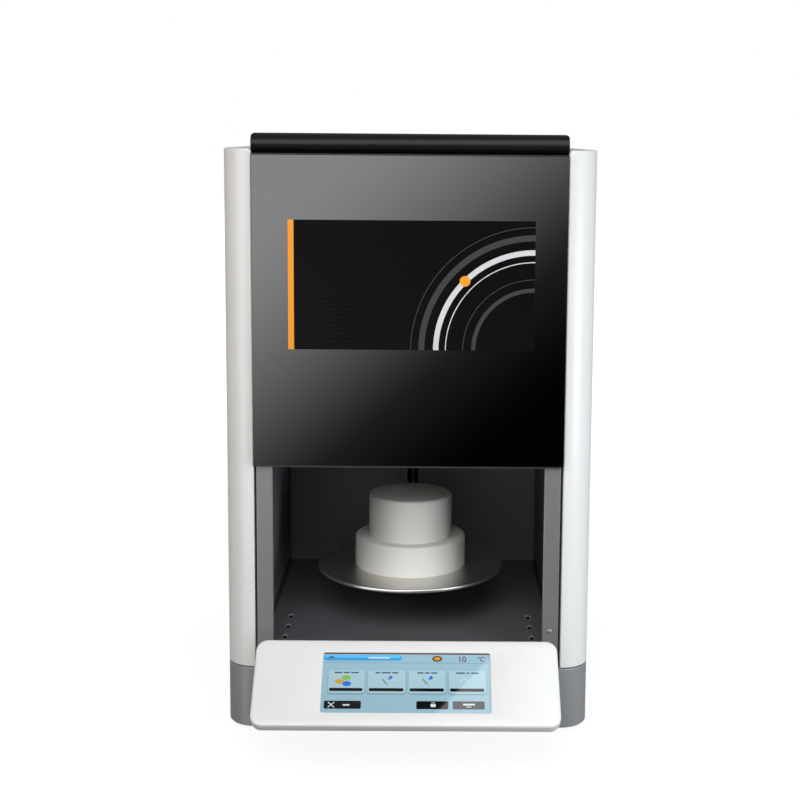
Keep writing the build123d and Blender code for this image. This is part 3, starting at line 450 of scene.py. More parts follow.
def fibre_group():
    """Pressed ceramic fibre: matted strands, small pits and a warm cloudiness."""
    tree, start, end = new_group("Pressed fibre", {
        "Place": None, "Colour": (0.8, 0.8, 0.8, 1.0), "Roughness": 0.9, "Strands": 260.0})
    place = start.outputs["Place"]
    strands = noise(tree, place, 260.0, 6.0, 0.7, start.outputs["Strands"])
    cloud = noise(tree, place, 22.0, 3.0)
    pits = tree.nodes.new("ShaderNodeTexVoronoi")
    pits.inputs["Scale"].default_value = 420.0
    tree.links.new(place, pits.inputs["Vector"])
    dent = maths(tree, "MULTIPLY", pits.outputs["Distance"], 3.0, clamp=True)
    height = maths(tree, "ADD", maths(tree, "MULTIPLY", strands, 0.7), maths(tree, "MULTIPLY", dent, 0.3))
    warm = mixed(tree, maths(tree, "MULTIPLY", cloud, 0.25), start.outputs["Colour"],
                 (0.70, 0.66, 0.58))
    # Darker towards the middle of each pit.
    darker_in_pits = mixed(tree, maths(tree, "MULTIPLY", maths(tree, "SUBTRACT", 1.0, dent), 0.18), warm,
                  (0.50, 0.48, 0.44))
    tree.links.new(darker_in_pits, end.inputs["Colour"])
    tree.links.new(start.outputs["Roughness"], end.inputs["Roughness"])
    tree.links.new(height, end.inputs["Height"])
    return tree


def display_group():
    """Lit display: a tone that drifts up and across, under a fine lattice of picture elements."""
    tree, start, end = new_group("Lit display", {
        "Place": None, "Colour": (0.5, 0.5, 0.5, 1.0), "Drift": 0.1}, outputs=("Colour",))
    split = tree.nodes.new("ShaderNodeSeparateXYZ")
    tree.links.new(start.outputs["Place"], split.inputs[0])
    x, y, z = split.outputs
    lines = maths(tree, "ABSOLUTE", maths(tree, "SINE", maths(tree, "MULTIPLY", x, 12000.0)))
    rows = maths(tree, "ABSOLUTE", maths(tree, "SINE", maths(tree, "MULTIPLY", z, 16000.0)))
    grid = maths(tree, "MULTIPLY", maths(tree, "ADD", lines, rows), 0.03)
    rise = maths(tree, "MULTIPLY", maths(tree, "SUBTRACT", z, 0.09), 20.0)
    lean = maths(tree, "MULTIPLY", x, 4.0)
    drift = maths(tree, "MULTIPLY", maths(tree, "ADD", rise, lean), start.outputs["Drift"])
    tone = tree.nodes.new("ShaderNodeVectorMath")
    tone.operation = "SCALE"
    tree.links.new(start.outputs["Colour"], tone.inputs[0])
    tree.links.new(maths(tree, "ADD", maths(tree, "ADD", 0.97, grid), drift), tone.inputs["Scale"])
    tree.links.new(tone.outputs[0], end.inputs["Colour"])
    return tree


def dots_group():
    """Lattice of round dots in staggered rows, that fades away along a slanted line."""
    tree, start, end = new_group("Dot lattice", {"Place": None, "Pitch": 0.003, "Size": 0.3},
                                 outputs=("Value",))
    split = tree.nodes.new("ShaderNodeSeparateXYZ")
    tree.links.new(start.outputs["Place"], split.inputs[0])
    x, y, z = split.outputs
    pitch = start.outputs["Pitch"]
    row = maths(tree, "DIVIDE", z, maths(tree, "MULTIPLY", pitch, 0.866))
    odd = maths(tree, "MULTIPLY", maths(tree, "FLOOR", row), 0.5)
    across = maths(tree, "FRACT", maths(tree, "ADD", maths(tree, "DIVIDE", x, pitch), odd))
    up = maths(tree, "FRACT", row)
    dx, dy = maths(tree, "SUBTRACT", across, 0.5), maths(tree, "SUBTRACT", up, 0.5)
    away = maths(tree, "SQRT", maths(tree, "ADD", maths(tree, "MULTIPLY", dx, dx),
                                     maths(tree, "MULTIPLY", dy, dy)))
    dot = maths(tree, "MULTIPLY", maths(tree, "SUBTRACT", start.outputs["Size"], away), 12.0, clamp=True)
    fade = maths(tree, "MULTIPLY_ADD", maths(tree, "ADD", x, z), -3.2, 1.9, clamp=True)
    tree.links.new(maths(tree, "MULTIPLY", dot, fade), end.inputs["Value"])
    return tree


GROUPS = {}
FINISHES = {}


def build_finishes(shades):
    """All finishes of the object, by name."""
    GROUPS["paint"] = paint_group()
    GROUPS["metal"] = metal_group()
    GROUPS["fibre"] = fibre_group()
    GROUPS["display"] = display_group()
    GROUPS["dots"] = dots_group()

    def painted(name, tone, roughness, grain=900.0, drift=0.04, bump=0.06, **plain):
        box = Paintbox(name)
        box.plain(**plain)
        effect = box.group(GROUPS["paint"], Colour=tuple(tone), Roughness=roughness, Grain=grain,
                           Drift=drift)
        box.wear(effect, bump, 0.0003)
        FINISHES[name] = box.material

    def metal(name, tone, roughness, rings=1400.0, centre=(0.0, 0.0, 0.0), bump=0.08, swing=0.25):
        box = Paintbox(name)
        box.plain(Metallic=1.0)
        shift = box.add("ShaderNodeMapping")
        shift.inputs["Location"].default_value = [-c for c in centre]
        box.link(box.where, shift.inputs["Vector"])
        effect = box.group(GROUPS["metal"], shift.outputs["Vector"], Colour=tuple(tone),
                           Roughness=roughness, Rings=rings, Swing=swing)
        box.wear(effect, bump, 0.0002)
        FINISHES[name] = box.material

    def fibre(name, tone, strands=260.0, bump=0.45):
        box = Paintbox(name)
        box.plain(Specular_IOR_Level=0.2)
        effect = box.group(GROUPS["fibre"], Colour=tuple(tone), Roughness=0.92, Strands=strands)
        box.wear(effect, bump, 0.0006)
        FINISHES[name] = box.material

    painted("cover paint", shades.cover, 0.34, Specular_IOR_Level=0.35)
    painted("base paint", shades.base, 0.38, drift=0.05)
    painted("pillar paint", shades.pillar, 0.38, Metallic=0.3)
    painted("cabin paint", shades.cabin, 0.46, grain=1500.0, bump=0.15)
    # Lighter than the bay's paint: a painted highlight on the eyebrows' tops.
    painted("louvre highlight paint", (0.23, 0.235, 0.245), 0.40, grain=1500.0, bump=0.10)
    painted("front gloss", shades.front, 0.05, grain=60.0, drift=0.0, bump=0.004, Coat_Weight=1.0,
            Coat_Roughness=0.04)
    painted("hood black", shades.hood, 0.40, drift=0.03, Specular_IOR_Level=0.27)
    painted("black sheet", (0.012, 0.012, 0.013), 0.5)
    painted("rear sheet", (0.30, 0.305, 0.31), 0.42)
    painted("console white", shades.console, 0.30, bump=0.03)
    painted("console grey", (0.27, 0.275, 0.28), 0.40)
    painted("black plastic", (0.015, 0.015, 0.016), 0.45, grain=1800.0, bump=0.12)
    painted("rubber", (0.018, 0.018, 0.018), 0.75, grain=1200.0, bump=0.3)
    painted("board green", (0.02, 0.14, 0.06), 0.35)
    painted("core steel", (0.11, 0.10, 0.10), 0.5, grain=400.0, bump=0.2)
    metal("disc steel", shades.steel, 0.33, 500.0, (0.0, LIFT_Y, 0.0), bump=0.015, swing=0.06)
    metal("ground steel", (0.66, 0.66, 0.67), 0.18)
    # Dark steel for the drive's lead screw, rods, carriage and nut: painted shade where they show through
    # the bay's slot.
    metal("steel painted dark as shade", (0.12, 0.12, 0.12), 0.32)
    metal("plain steel", (0.46, 0.46, 0.45), 0.38)
    metal("bright alloy", (0.68, 0.69, 0.70), 0.30)
    metal("bronze", (0.58, 0.38, 0.16), 0.30)
    fibre("plug fibre", shades.fibre)
    fibre("chamber fibre", (0.78, 0.76, 0.72))
    painted("element", (0.05, 0.045, 0.045), 0.35)

    def lit(name, tone, drift=0.1):
        box = Paintbox(name)
        box.plain(Roughness=0.25, Coat_Weight=1.0, Coat_Roughness=0.02, Specular_IOR_Level=0.0,
                  Emission_Strength=0.38)
        effect = box.group(GROUPS["display"], Colour=tuple(0.62 * c for c in tone), Drift=drift)
        box.link(effect.outputs["Colour"], box.shader.inputs["Base Color"])
        glow = box.group(GROUPS["display"], Colour=tuple(tone), Drift=drift)
        box.link(glow.outputs["Colour"], box.shader.inputs["Emission Color"])
        FINISHES[name] = box.material

    lit("screen ground", shades.screen, 0.12)
    lit("screen card", shades.card, 0.15)
    lit("screen shade", [c * 0.72 for c in shades.screen])
    lit("screen tab", shades.tab, 0.3)
    lit("screen black", (0.008, 0.008, 0.010))
    lit("screen grey", (0.07, 0.063, 0.066))
    lit("screen tab light", [min(1.0, c * 1.5 + 0.03) for c in shades.tab], 0.3)
    lit("screen pale", (0.72, 0.82, 0.86))
    lit("screen digits", shades.digits)
    lit("screen ink", (0.075, 0.12, 0.15))
    lit("screen green", (0.25, 0.55, 0.10))
    lit("screen amber", (0.72, 0.36, 0.04))
    lit("screen blue", (0.03, 0.19, 0.72))
    lit("screen brown", (0.13, 0.06, 0.03))

    printed = Paintbox("front print")
    printed.plain(Roughness=0.6, Specular_IOR_Level=0.04)
    dots = printed.group(GROUPS["dots"], Pitch=0.0032, Size=0.34)
    tone = mixed(printed.tree, dots.outputs["Value"], (0.0018, 0.0018, 0.0020), (0.014, 0.014, 0.0145))
    printed.link(tone, printed.shader.inputs["Base Color"])
    FINISHES["front print"] = printed.material
    painted("print silver", shades.silver, 0.45, drift=0.30, bump=0.02, Specular_IOR_Level=0.2)
    painted("print grey", (0.045, 0.045, 0.048), 0.5, drift=0.1, bump=0.02, Specular_IOR_Level=0.1)
    painted("print orange", shades.accent, 0.5, drift=0.10, bump=0.02, Specular_IOR_Level=0.2)

    glass = Paintbox("touch glass")
    glass.plain(Base_Color=(1.0, 1.0, 1.0), Roughness=0.03, IOR=1.45, Transmission_Weight=1.0)
    FINISHES["touch glass"] = glass.material


SLOT_FINISH = {
    "white_paint": "cover paint", "grey_paint": "base paint", "black_sheet": "black sheet",
    "pillar_paint": "pillar paint", "cabin_paint": "cabin paint", "front_black": "front gloss",
    "hood_black": "hood black", "rear_sheet": "rear sheet", "frame_steel": "plain steel",
    "stainless": "disc steel", "polished_steel": "ground steel", "fibre": "chamber fibre",
    "element": "element", "bright_alloy": "bright alloy", "bronze": "bronze",
    "rubber_black": "rubber", "black_plastic": "black plastic", "board_green": "board green",
    "core_steel": "core steel", "console_white": "console white", "screen_glass": "touch glass",
    "screen_body": "black plastic",
}
# Frame parts and lift parts that show only through seams get black sheet and dark steel in place of their
# own finishes: painted shade for those seams.
NODE_FINISH = {
    "top_rails": "black sheet", "rear_posts": "black sheet", "lead_screw": "steel painted dark as shade",
    "guide_rods": "steel painted dark as shade", "lift_carriage": "steel painted dark as shade", "lift_nut": "steel painted dark as shade",
    "drive_plate_lower": "black sheet", "pillar_screws": "pillar paint",
}


# ------------------------------------------------------------------ pieces
def cover_outline(sizes, inset):
    """Plan of the right side cover, anticlockwise, inset evenly: folded front edge, wide round
    corner, flat side, small back corner and folded back edge."""
    x0, x1 = COVER_LOW.x + inset, COVER_HIGH.x - inset
    y0, y1 = COVER_LOW.y + inset, COVER_HIGH.y - inset
    corners = [
        (x0, y0, max(sizes.cover_edge - inset, 0.0002), math.pi),
        (x1, y0, sizes.cover_corner - inset, 1.5 * math.pi),
        (x1, y1, sizes.cover_back - inset, 0.0),
        (x0, y1, max(sizes.cover_edge - inset, 0.0002), 0.5 * math.pi),
    ]
    out = []
    for (x, y, radius, begin), sx, sy, steps in zip(
            corners, (1, -1, -1, 1), (1, 1, -1, -1), (6, 40, 16, 6)):
        a = begin + np.linspace(0.0, math.pi / 2, steps)
        out.append(np.stack([x + sx * radius + radius * np.cos(a),
                             y + sy * radius + radius * np.sin(a)], -1))
    return np.concatenate(out)


def cover_surface(sizes, side):
    """The plan carried straight up from its closed foot, then drawn in along a quarter circle to
    the flat top."""
    cos, sin = quarter_turn(7)
    soft = 0.002
    levels = [(0.0, COVER_LOW.z), (0.0, COVER_HIGH.z - soft)]
    levels += [(soft * (1 - c), COVER_HIGH.z - soft + soft * s) for c, s in zip(cos[1:], sin[1:])]
    rings = []
    for inset, z in levels:
        plan = cover_outline(sizes, inset)
        rings.append(np.column_stack([plan, np.full(len(plan), z)]))
    rings = np.array(rings)
    if side < 0:
        rings = rings[:, ::-1] * np.array([-1.0, 1.0, 1.0])
    return loft(rings, cap_first=True, cap_last=True)


# The bead's black is painted shade: it stands in for the shadow line of the gap between a wall and the
# floor.
def shade_bead_surface(wall, floor, radius, front, back, side):
    """A bead in a corner: the corner point and a hollow quarter circle from the wall to the floor,
    carried straight back and closed at both ends."""
    a = np.linspace(0.0, math.pi / 2, 7)
    curve = np.stack([wall - side * radius * (1 - np.sin(a)), floor + radius * (1 - np.cos(a))], -1)
    plan = np.concatenate([[(wall, floor)], curve[::-1]])
    rings = [np.column_stack([plan[:, 0], np.full(len(plan), y), plan[:, 1]]) for y in (front, back)]
    if side > 0:
        rings = [ring[::-1] for ring in rings]
    return loft(np.array(rings), cap_first=True, cap_last=True)


def hood_surface(x, y, width, rise, length, wall=0.0008):
    """A pressed eyebrow, open to the front: a quarter of an ellipsoid. Its half elliptic arch starts
    full size at y and shrinks towards the back as the root of one less the square of the way along.
    A lower arch inside it makes its wall and leaves a flat slit at the front."""
    a = np.linspace(0.0, math.pi, 17)
    rings = []
    for way in np.linspace(0.0, 0.985, 10):
        shrink = math.sqrt(1.0 - way * way)
        arches = []
        for w, h in ((width / 2, rise), (width / 2 - wall, rise - 2.1 * wall)):
            arches.append(np.stack([x + w * shrink * np.cos(a), FLOOR_TOP + h * shrink * np.sin(a)], -1))
        plan = np.concatenate([arches[0], arches[1][::-1]])
        rings.append(np.column_stack([plan[:, 0], np.full(len(plan), y + way * length), plan[:, 1]]))
    rings = [ring[::-1] for ring in rings]
    return loft(np.array(rings), cap_first=True, cap_last=True)


def console_place(flat):
    """Points in the console's own frame (X across, Y up its face, Z out of it), set in the row's."""
    flat = np.asarray(flat, float)
    cos, sin = math.cos(CONSOLE_TILT), math.sin(CONSOLE_TILT)
    out = np.empty_like(flat)
    out[..., 0] = flat[..., 0]
    out[..., 1] = CONSOLE_MIDDLE[1] + flat[..., 1] * cos - flat[..., 2] * sin
    out[..., 2] = CONSOLE_MIDDLE[2] + flat[..., 1] * sin + flat[..., 2] * cos
    return out


def console_surface(sizes):
    """Face plate as one closed band of rounded rectangles: up the window's wall, over its soft rim,
    across the face, down the round outer edge, across the back and up the glass's seat."""
    w, h = sizes.screen_width / 2, sizes.screen_height / 2
    width, tall = sizes.console_width / 2, sizes.console_length / 2
    thick, corner, recess = sizes.console_thick, sizes.console_corner, 0.0016
    cos, sin = quarter_turn(6)
    bands = [(w, h, 0.0025, -recess), (w, h, 0.0025, -0.0007)]
    bands += [(w + 0.0007 * (1 - c), h + 0.0007 * (1 - c), 0.0025 + 0.0007 * (1 - c), -0.0007 + 0.0007 * s)
              for c, s in zip(cos[1:], sin[1:])]
    soft = 0.0026
    for c, s in zip(cos[::-1], sin[::-1]):
        bands.append((width - soft * (1 - c), tall - soft * (1 - c), corner - soft * (1 - c),
                      -soft * (1 - s)))
    low = 0.0014
    for c, s in zip(cos, sin):
        bands.append((width - low * (1 - c), tall - low * (1 - c), corner - low * (1 - c),
                      -thick + low * (1 - s)))
    bands.append((w + 0.0045, h + 0.0045, 0.003, -thick))
    bands.append((w + 0.0045, h + 0.0045, 0.003, -recess))
    rings = []
    for half_x, half_y, radius, depth in bands:
        plan = rounded_outline(half_x, half_y, radius, 14)
        rings.append(console_place(np.column_stack([plan, np.full(len(plan), depth)])))
    points, faces = loft(np.array(rings), close=True)
    return points, [face[::-1] for face in faces]


# ------------------------------------------------------------------ operators
class FURNACE_OT_finishes(bpy.types.Operator):
    """Make the finishes and give each piece of the construction its own"""

    bl_idname = "furnace.finishes"
    bl_label = "Finishes"

    def execute(self, context):
        build_finishes(context.scene.furnace_colours)
        slots = {part["node"]: part["material_slot"] for part in frame["record"]["subparts"]}
        for node, piece in NODES.items():
            finish = FINISHES[NODE_FINISH.get(node) or SLOT_FINISH[slots[node]]]
            if not piece.data.materials:
                piece.data.materials.append(finish)
            for index in range(len(piece.material_slots)):
                piece.material_slots[index].material = finish
        return {"FINISHED"}


class FURNACE_OT_covers(bpy.types.Operator):
    """Make the two tall side covers"""

    bl_idname = "furnace.covers"
    bl_label = "Side covers"

    def execute(self, context):
        sizes = context.scene.furnace_sizes
        for side, label in ((1, "right"), (-1, "left")):
            points, faces = cover_surface(sizes, side)
            piece = mesh_piece(f"cover_shell_{label}", points, faces, "housing",
                               FINISHES["cover paint"])
            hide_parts(f"side_cover_{label}")
        return {"FINISHED"}


class FURNACE_OT_shade_beads(bpy.types.Operator):
    """Make the two black beads in the joints between the bay's floor and its side walls, whose black is
    painted shade for the gap there
    """

    bl_idname = "furnace.seals"
    bl_label = "Bay shade beads"

    def execute(self, context):
        radius = context.scene.furnace_sizes.shade_bead
        front = COVER_LOW.y + 0.0215
        for side, label, node in ((1, "right", "bay_wall_right"), (-1, "left", "bay_wall_left")):
            low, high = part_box(node)
            wall = low.x if side > 0 else high.x
            points, faces = shade_bead_surface(wall, FLOOR_TOP, radius, front, high.y - 0.001, side)
            # Black rubber here is painted shade for the joint's gap.
            piece = mesh_piece(f"bay_shade_bead_{label}", points, faces, "housing", FINISHES["rubber"])
        return {"FINISHED"}


class FURNACE_OT_louvres(bpy.types.Operator):
    """Make the pressed eyebrows over the six louvres of the bay's floor, lighter than the floor as a
    painted highlight
    """

    bl_idname = "furnace.louvres"
    bl_label = "Bay louvres"

    def execute(self, context):
        sizes = context.scene.furnace_sizes
        for side, label in ((1, "right"), (-1, "left")):
            parts = [hood_surface(side * LOUVRE_X, y - 0.003, sizes.hood_width, sizes.hood_rise,
                                  sizes.hood_length) for y in LOUVRE_Y]
            points, faces = join_parts(parts)
            piece = mesh_piece(f"louvre_hoods_{label}", points, faces, "housing",
                               FINISHES["louvre highlight paint"])
        return {"FINISHED"}


class FURNACE_OT_plug(bpy.types.Operator):
    """Make the stepped plug and the disc that carries it"""

    bl_idname = "furnace.plug"
    bl_label = "Plug and disc"

    def execute(self, context):
        sizes = context.scene.furnace_sizes
        steps = sizes.round_steps
        cos, sin = quarter_turn(9)
        for name, low, high, finish, slot, node in (
                ("plug_step_wide", STEP_LOW, STEP_HIGH, "plug fibre", "fibre", "plug_base"),
                ("plug_step_narrow", BLOCK_LOW, BLOCK_HIGH, "plug fibre", "fibre", "plug_block")):
            radius, soft = (high.x - low.x) / 2, sizes.plug_edge
            profile = [(radius, low.z), (radius, (low.z + high.z) / 2)]
            profile += [(radius - soft * (1 - c), high.z - soft * (1 - s)) for c, s in zip(cos, sin)]
            profile += [(radius * 0.5, high.z)]
            points, faces = loft(turned(profile, (0.0, LIFT_Y), steps), cap_first=True, cap_last=True)
            piece = mesh_piece(name, points, faces, "lift", FINISHES[finish])
            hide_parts(node)
        radius = (PLATE_HIGH.x - PLATE_LOW.x) / 2
        soft = sizes.disc_edge
        profile = [(radius * 0.3, PLATE_LOW.z)]
        profile += [(radius - soft * (1 - s), PLATE_LOW.z + soft * (1 - c)) for c, s in zip(cos, sin)]
        profile += [(radius - soft * (1 - c), PLATE_HIGH.z - soft * (1 - s)) for c, s in zip(cos, sin)]
        profile += [(radius * 0.6, PLATE_HIGH.z)]
        points, faces = loft(turned(profile, (0.0, LIFT_Y), steps), cap_first=True, cap_last=True)
        piece = mesh_piece("lift_disc", points, faces, "lift", FINISHES["disc steel"])
        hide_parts("lift_plate")
        return {"FINISHED"}


class FURNACE_OT_console(bpy.types.Operator):
    """Make the tilted console's face plate"""

    bl_idname = "furnace.console"
    bl_label = "Console"

    def execute(self, context):
        points, faces = console_surface(context.scene.furnace_sizes)
        piece = mesh_piece("console_plate", points, faces, "housing", FINISHES["console white"])
        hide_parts("console_face")
        return {"FINISHED"}


class FURNACE_OT_screen(bpy.types.Operator):
    """Make the lit screen: its ground, tab, badge, temperature, four cards and three keys"""

    bl_idname = "furnace.screen"
    bl_label = "Screen"

    def execute(self, context):
        sizes = context.scene.furnace_sizes
        w, h = sizes.screen_width, sizes.screen_height
        level = -0.0016
        step = 0.00006

        def at(u, v):
            """From shares of the width and of the height down, to the console's own frame."""
            return (u - 0.5) * w, (0.5 - v) * h

        def box(u0, u1, v0, v1, radius, layer):
            (x0, y0), (x1, y1) = at(u0, v0), at(u1, v1)
            return tile((x0 + x1) / 2, (y0 + y1) / 2, x1 - x0, y0 - y1, radius, level + layer * step)

        def piece(name, finish, parts):
            points, faces = join_parts(parts)
            made = mesh_piece(name, console_place(points), faces, "housing", FINISHES[finish])
            return made

        pane = tile(0.0, 0.0, w + 0.0078, h + 0.0078, 0.003, level, 0.0012)
        ground = piece("screen_pane", "screen ground", [pane])
        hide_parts("touch_glass")
        self.cards = ((0.037, 0.254), (0.272, 0.496), (0.513, 0.735), (0.751, 0.974))
        piece("screen_shade", "screen shade",
              [box(u0 - 0.004, u1 + 0.004, 0.31, 0.70, 0.003, 1) for u0, u1 in self.cards]
              + [box(0.0, 1.0, 0.160, 0.170, 0.0001, 1)])
        piece("screen_cards", "screen card",
              [box(u0, u1, 0.296, 0.672, 0.0028, 2) for u0, u1 in self.cards])
        # A dark line along the screen's top: the painted shadow of the window's upper edge.
        piece("screen_top_edge_shadow", "screen brown", [box(0.0, 1.0, 0.0, 0.022, 0.0001, 2)])
        piece("screen_tab", "screen tab", [box(0.004, 0.470, 0.035, 0.130, 0.0030, 2)])
        piece("screen_tab_light", "screen tab light", [box(0.008, 0.464, 0.040, 0.080, 0.0013, 3)])
        keys = [box(0.02, 0.237, 0.80, 0.93, 0.0015, 2), box(0.561, 0.749, 0.80, 0.93, 0.0015, 2)]
        bars = [box(u0 + 0.008, u1 - 0.012, 0.590, 0.642, 0.0012, 3) for u0, u1 in self.cards]
        piece("screen_black", "screen black", keys + bars)
        piece("screen_grey_key", "screen grey", [box(0.774, 0.962, 0.80, 0.93, 0.0015, 2)])
        self.marks(piece, at, box, level, step)
        self.pictures(piece, at, level, step)
        return {"FINISHED"}

    def marks(self, piece, at, box, level, step):
        """Captions as plain dashes, and the temperature in figures."""
        pale = [box(0.27, 0.40, 0.073, 0.095, 0.0006, 4), box(0.13, 0.17, 0.855, 0.880, 0.0005, 3),
                box(0.835, 0.905, 0.838, 0.866, 0.0005, 3), box(0.855, 0.885, 0.885, 0.897, 0.0002, 3),
                box(0.645, 0.675, 0.845, 0.895, 0.0008, 3), box(0.65, 0.67, 0.822, 0.832, 0.0002, 3)]
        piece("screen_pale_marks", "screen pale", pale)
        dashes = []
        for (u0, u1), lengths in zip(self.cards, ((5, 4, 5), (3, 6, 4), (4, 3, 4), (6, 2, 5))):
            middle, total = (u0 + u1) / 2, sum(lengths) + 2
            u = middle - 0.0045 * total
            for length_ in lengths:
                dashes.append(box(u, u + 0.009 * length_, 0.322, 0.345, 0.0003, 3))
                u += 0.009 * (length_ + 1)
        piece("screen_captions", "screen ink", dashes)
        x, y = at(0.832, 0.145)
        figures = [words("10", x, y, 0.0062, level + 3 * step, align="CENTER")]
        x, y = at(0.945, 0.135)
        figures.append(words("\u00b0C", x, y, 0.0050, level + 3 * step, align="CENTER"))
        piece("screen_temperature", "screen digits", figures)

    def pictures(self, piece, at, level, step):
        """Small pictures: three pills, two pens, a round knob, crossed tools and a badge."""
        top = level + 4 * step
        x, y = at(0.113, 0.475)
        piece("screen_green", "screen green", [oval(x + 0.0055, y + 0.0035, 0.0090, 0.0056, top)])
        piece("screen_amber", "screen amber", [oval(x - 0.0015, y - 0.0005, 0.0090, 0.0048, top + step),
                                               oval(*at(0.683, 0.095), 0.0066, 0.0036, top + step)])
        blue = [oval(x + 0.0060, y - 0.0030, 0.0088, 0.0056, top + 2 * step)]
        ink = []
        for u0, u1 in self.cards[1:3]:
            x, y = at((u0 + u1) / 2, 0.475)
            blue.append(oval(x + 0.0040, y + 0.0042, 0.0036, 0.0036, top))
            blue.append(stroke([(x + 0.0015, y + 0.0015), (x + 0.0040, y + 0.0042)], 0.0012, top))
            ink.append(stroke([(x - 0.0045, y + 0.0025), (x, y - 0.0032)], 0.0009, top))
            ink.append(stroke([(x + 0.0002, y - 0.0034), (x + 0.0018, y - 0.0052)], 0.0003, top))
        piece("screen_blue", "screen blue", blue)
        a = np.linspace(0.15 * math.pi, 0.95 * math.pi, 20)
        x, y = at(0.845, 0.50)
        arc = np.stack([x + 0.0042 * np.cos(a), y + 0.0042 * np.sin(a)], -1)
        tab_x, tab_y = at(0.05, 0.10)
        arch = np.stack([tab_x + 0.0025 * np.cos(a), tab_y + 0.0020 * np.sin(a)], -1)
        ink.append(stroke(arch, 0.0015, top))
        piece("screen_ink", "screen ink", ink)
        x, y = at(0.062, 0.865)
        tools = [stroke([(x - 0.0032, y - s * 0.0028), (x + 0.0032, y + s * 0.0028)], 0.0009, top)
                 for s in (-1, 1)]
        piece("screen_tools", "screen pale", tools + [stroke(arc, 0.0008, top)])
        piece("screen_badge", "screen brown", [oval(*at(0.683, 0.095), 0.0102, 0.0066, top)])


class FURNACE_OT_front(bpy.types.Operator):
    """Make the plain print on the front glass: a dark field, dots, silver arcs and an orange bar"""

    bl_idname = "furnace.front"
    bl_label = "Front print"

    def execute(self, context):
        sizes = context.scene.furnace_sizes
        width, height = sizes.art_width, sizes.art_height
        middle = (0.002, 0.4845)

        def piece(name, finish, parts):
            points, faces = join_parts(parts)
            placed = np.column_stack([points[:, 0] + middle[0], PANEL_FACE - points[:, 2],
                                      points[:, 1] + middle[1]])
            made = mesh_piece(name, placed, faces, "housing", FINISHES[finish])

        piece("print_field", "front print", [tile(0.0, 0.0, width, height, 0.0004, 0.00015, 0.00015)])

        def arc(radius, thick, layer):
            """Quarter of a circle about the field's lower right corner, by radius and angle."""
            a = np.linspace(0.5 * math.pi, math.pi, 90)
            path = np.stack([width / 2 + radius * np.cos(a), -height / 2 + radius * np.sin(a)], -1)
            return stroke(path, thick, 0.00015 + 0.00006 * layer)

        piece("print_silver", "print silver", [arc(0.102, 0.0056, 2), arc(0.092, 0.0010, 2)])
        piece("print_grey", "print grey", [arc(0.128, 0.0008, 1), arc(0.117, 0.0062, 1),
                                           arc(0.074, 0.0008, 1), arc(0.063, 0.0042, 1)])
        piece("print_orange", "print orange",
              [tile(-width / 2 + 0.003, 0.0, 0.006, height, 0.0003, 0.00027),
               oval(width / 2 - 0.102 * 0.7071, -height / 2 + 0.102 * 0.7071, 0.011, 0.011,
                    0.00033)])
        return {"FINISHED"}


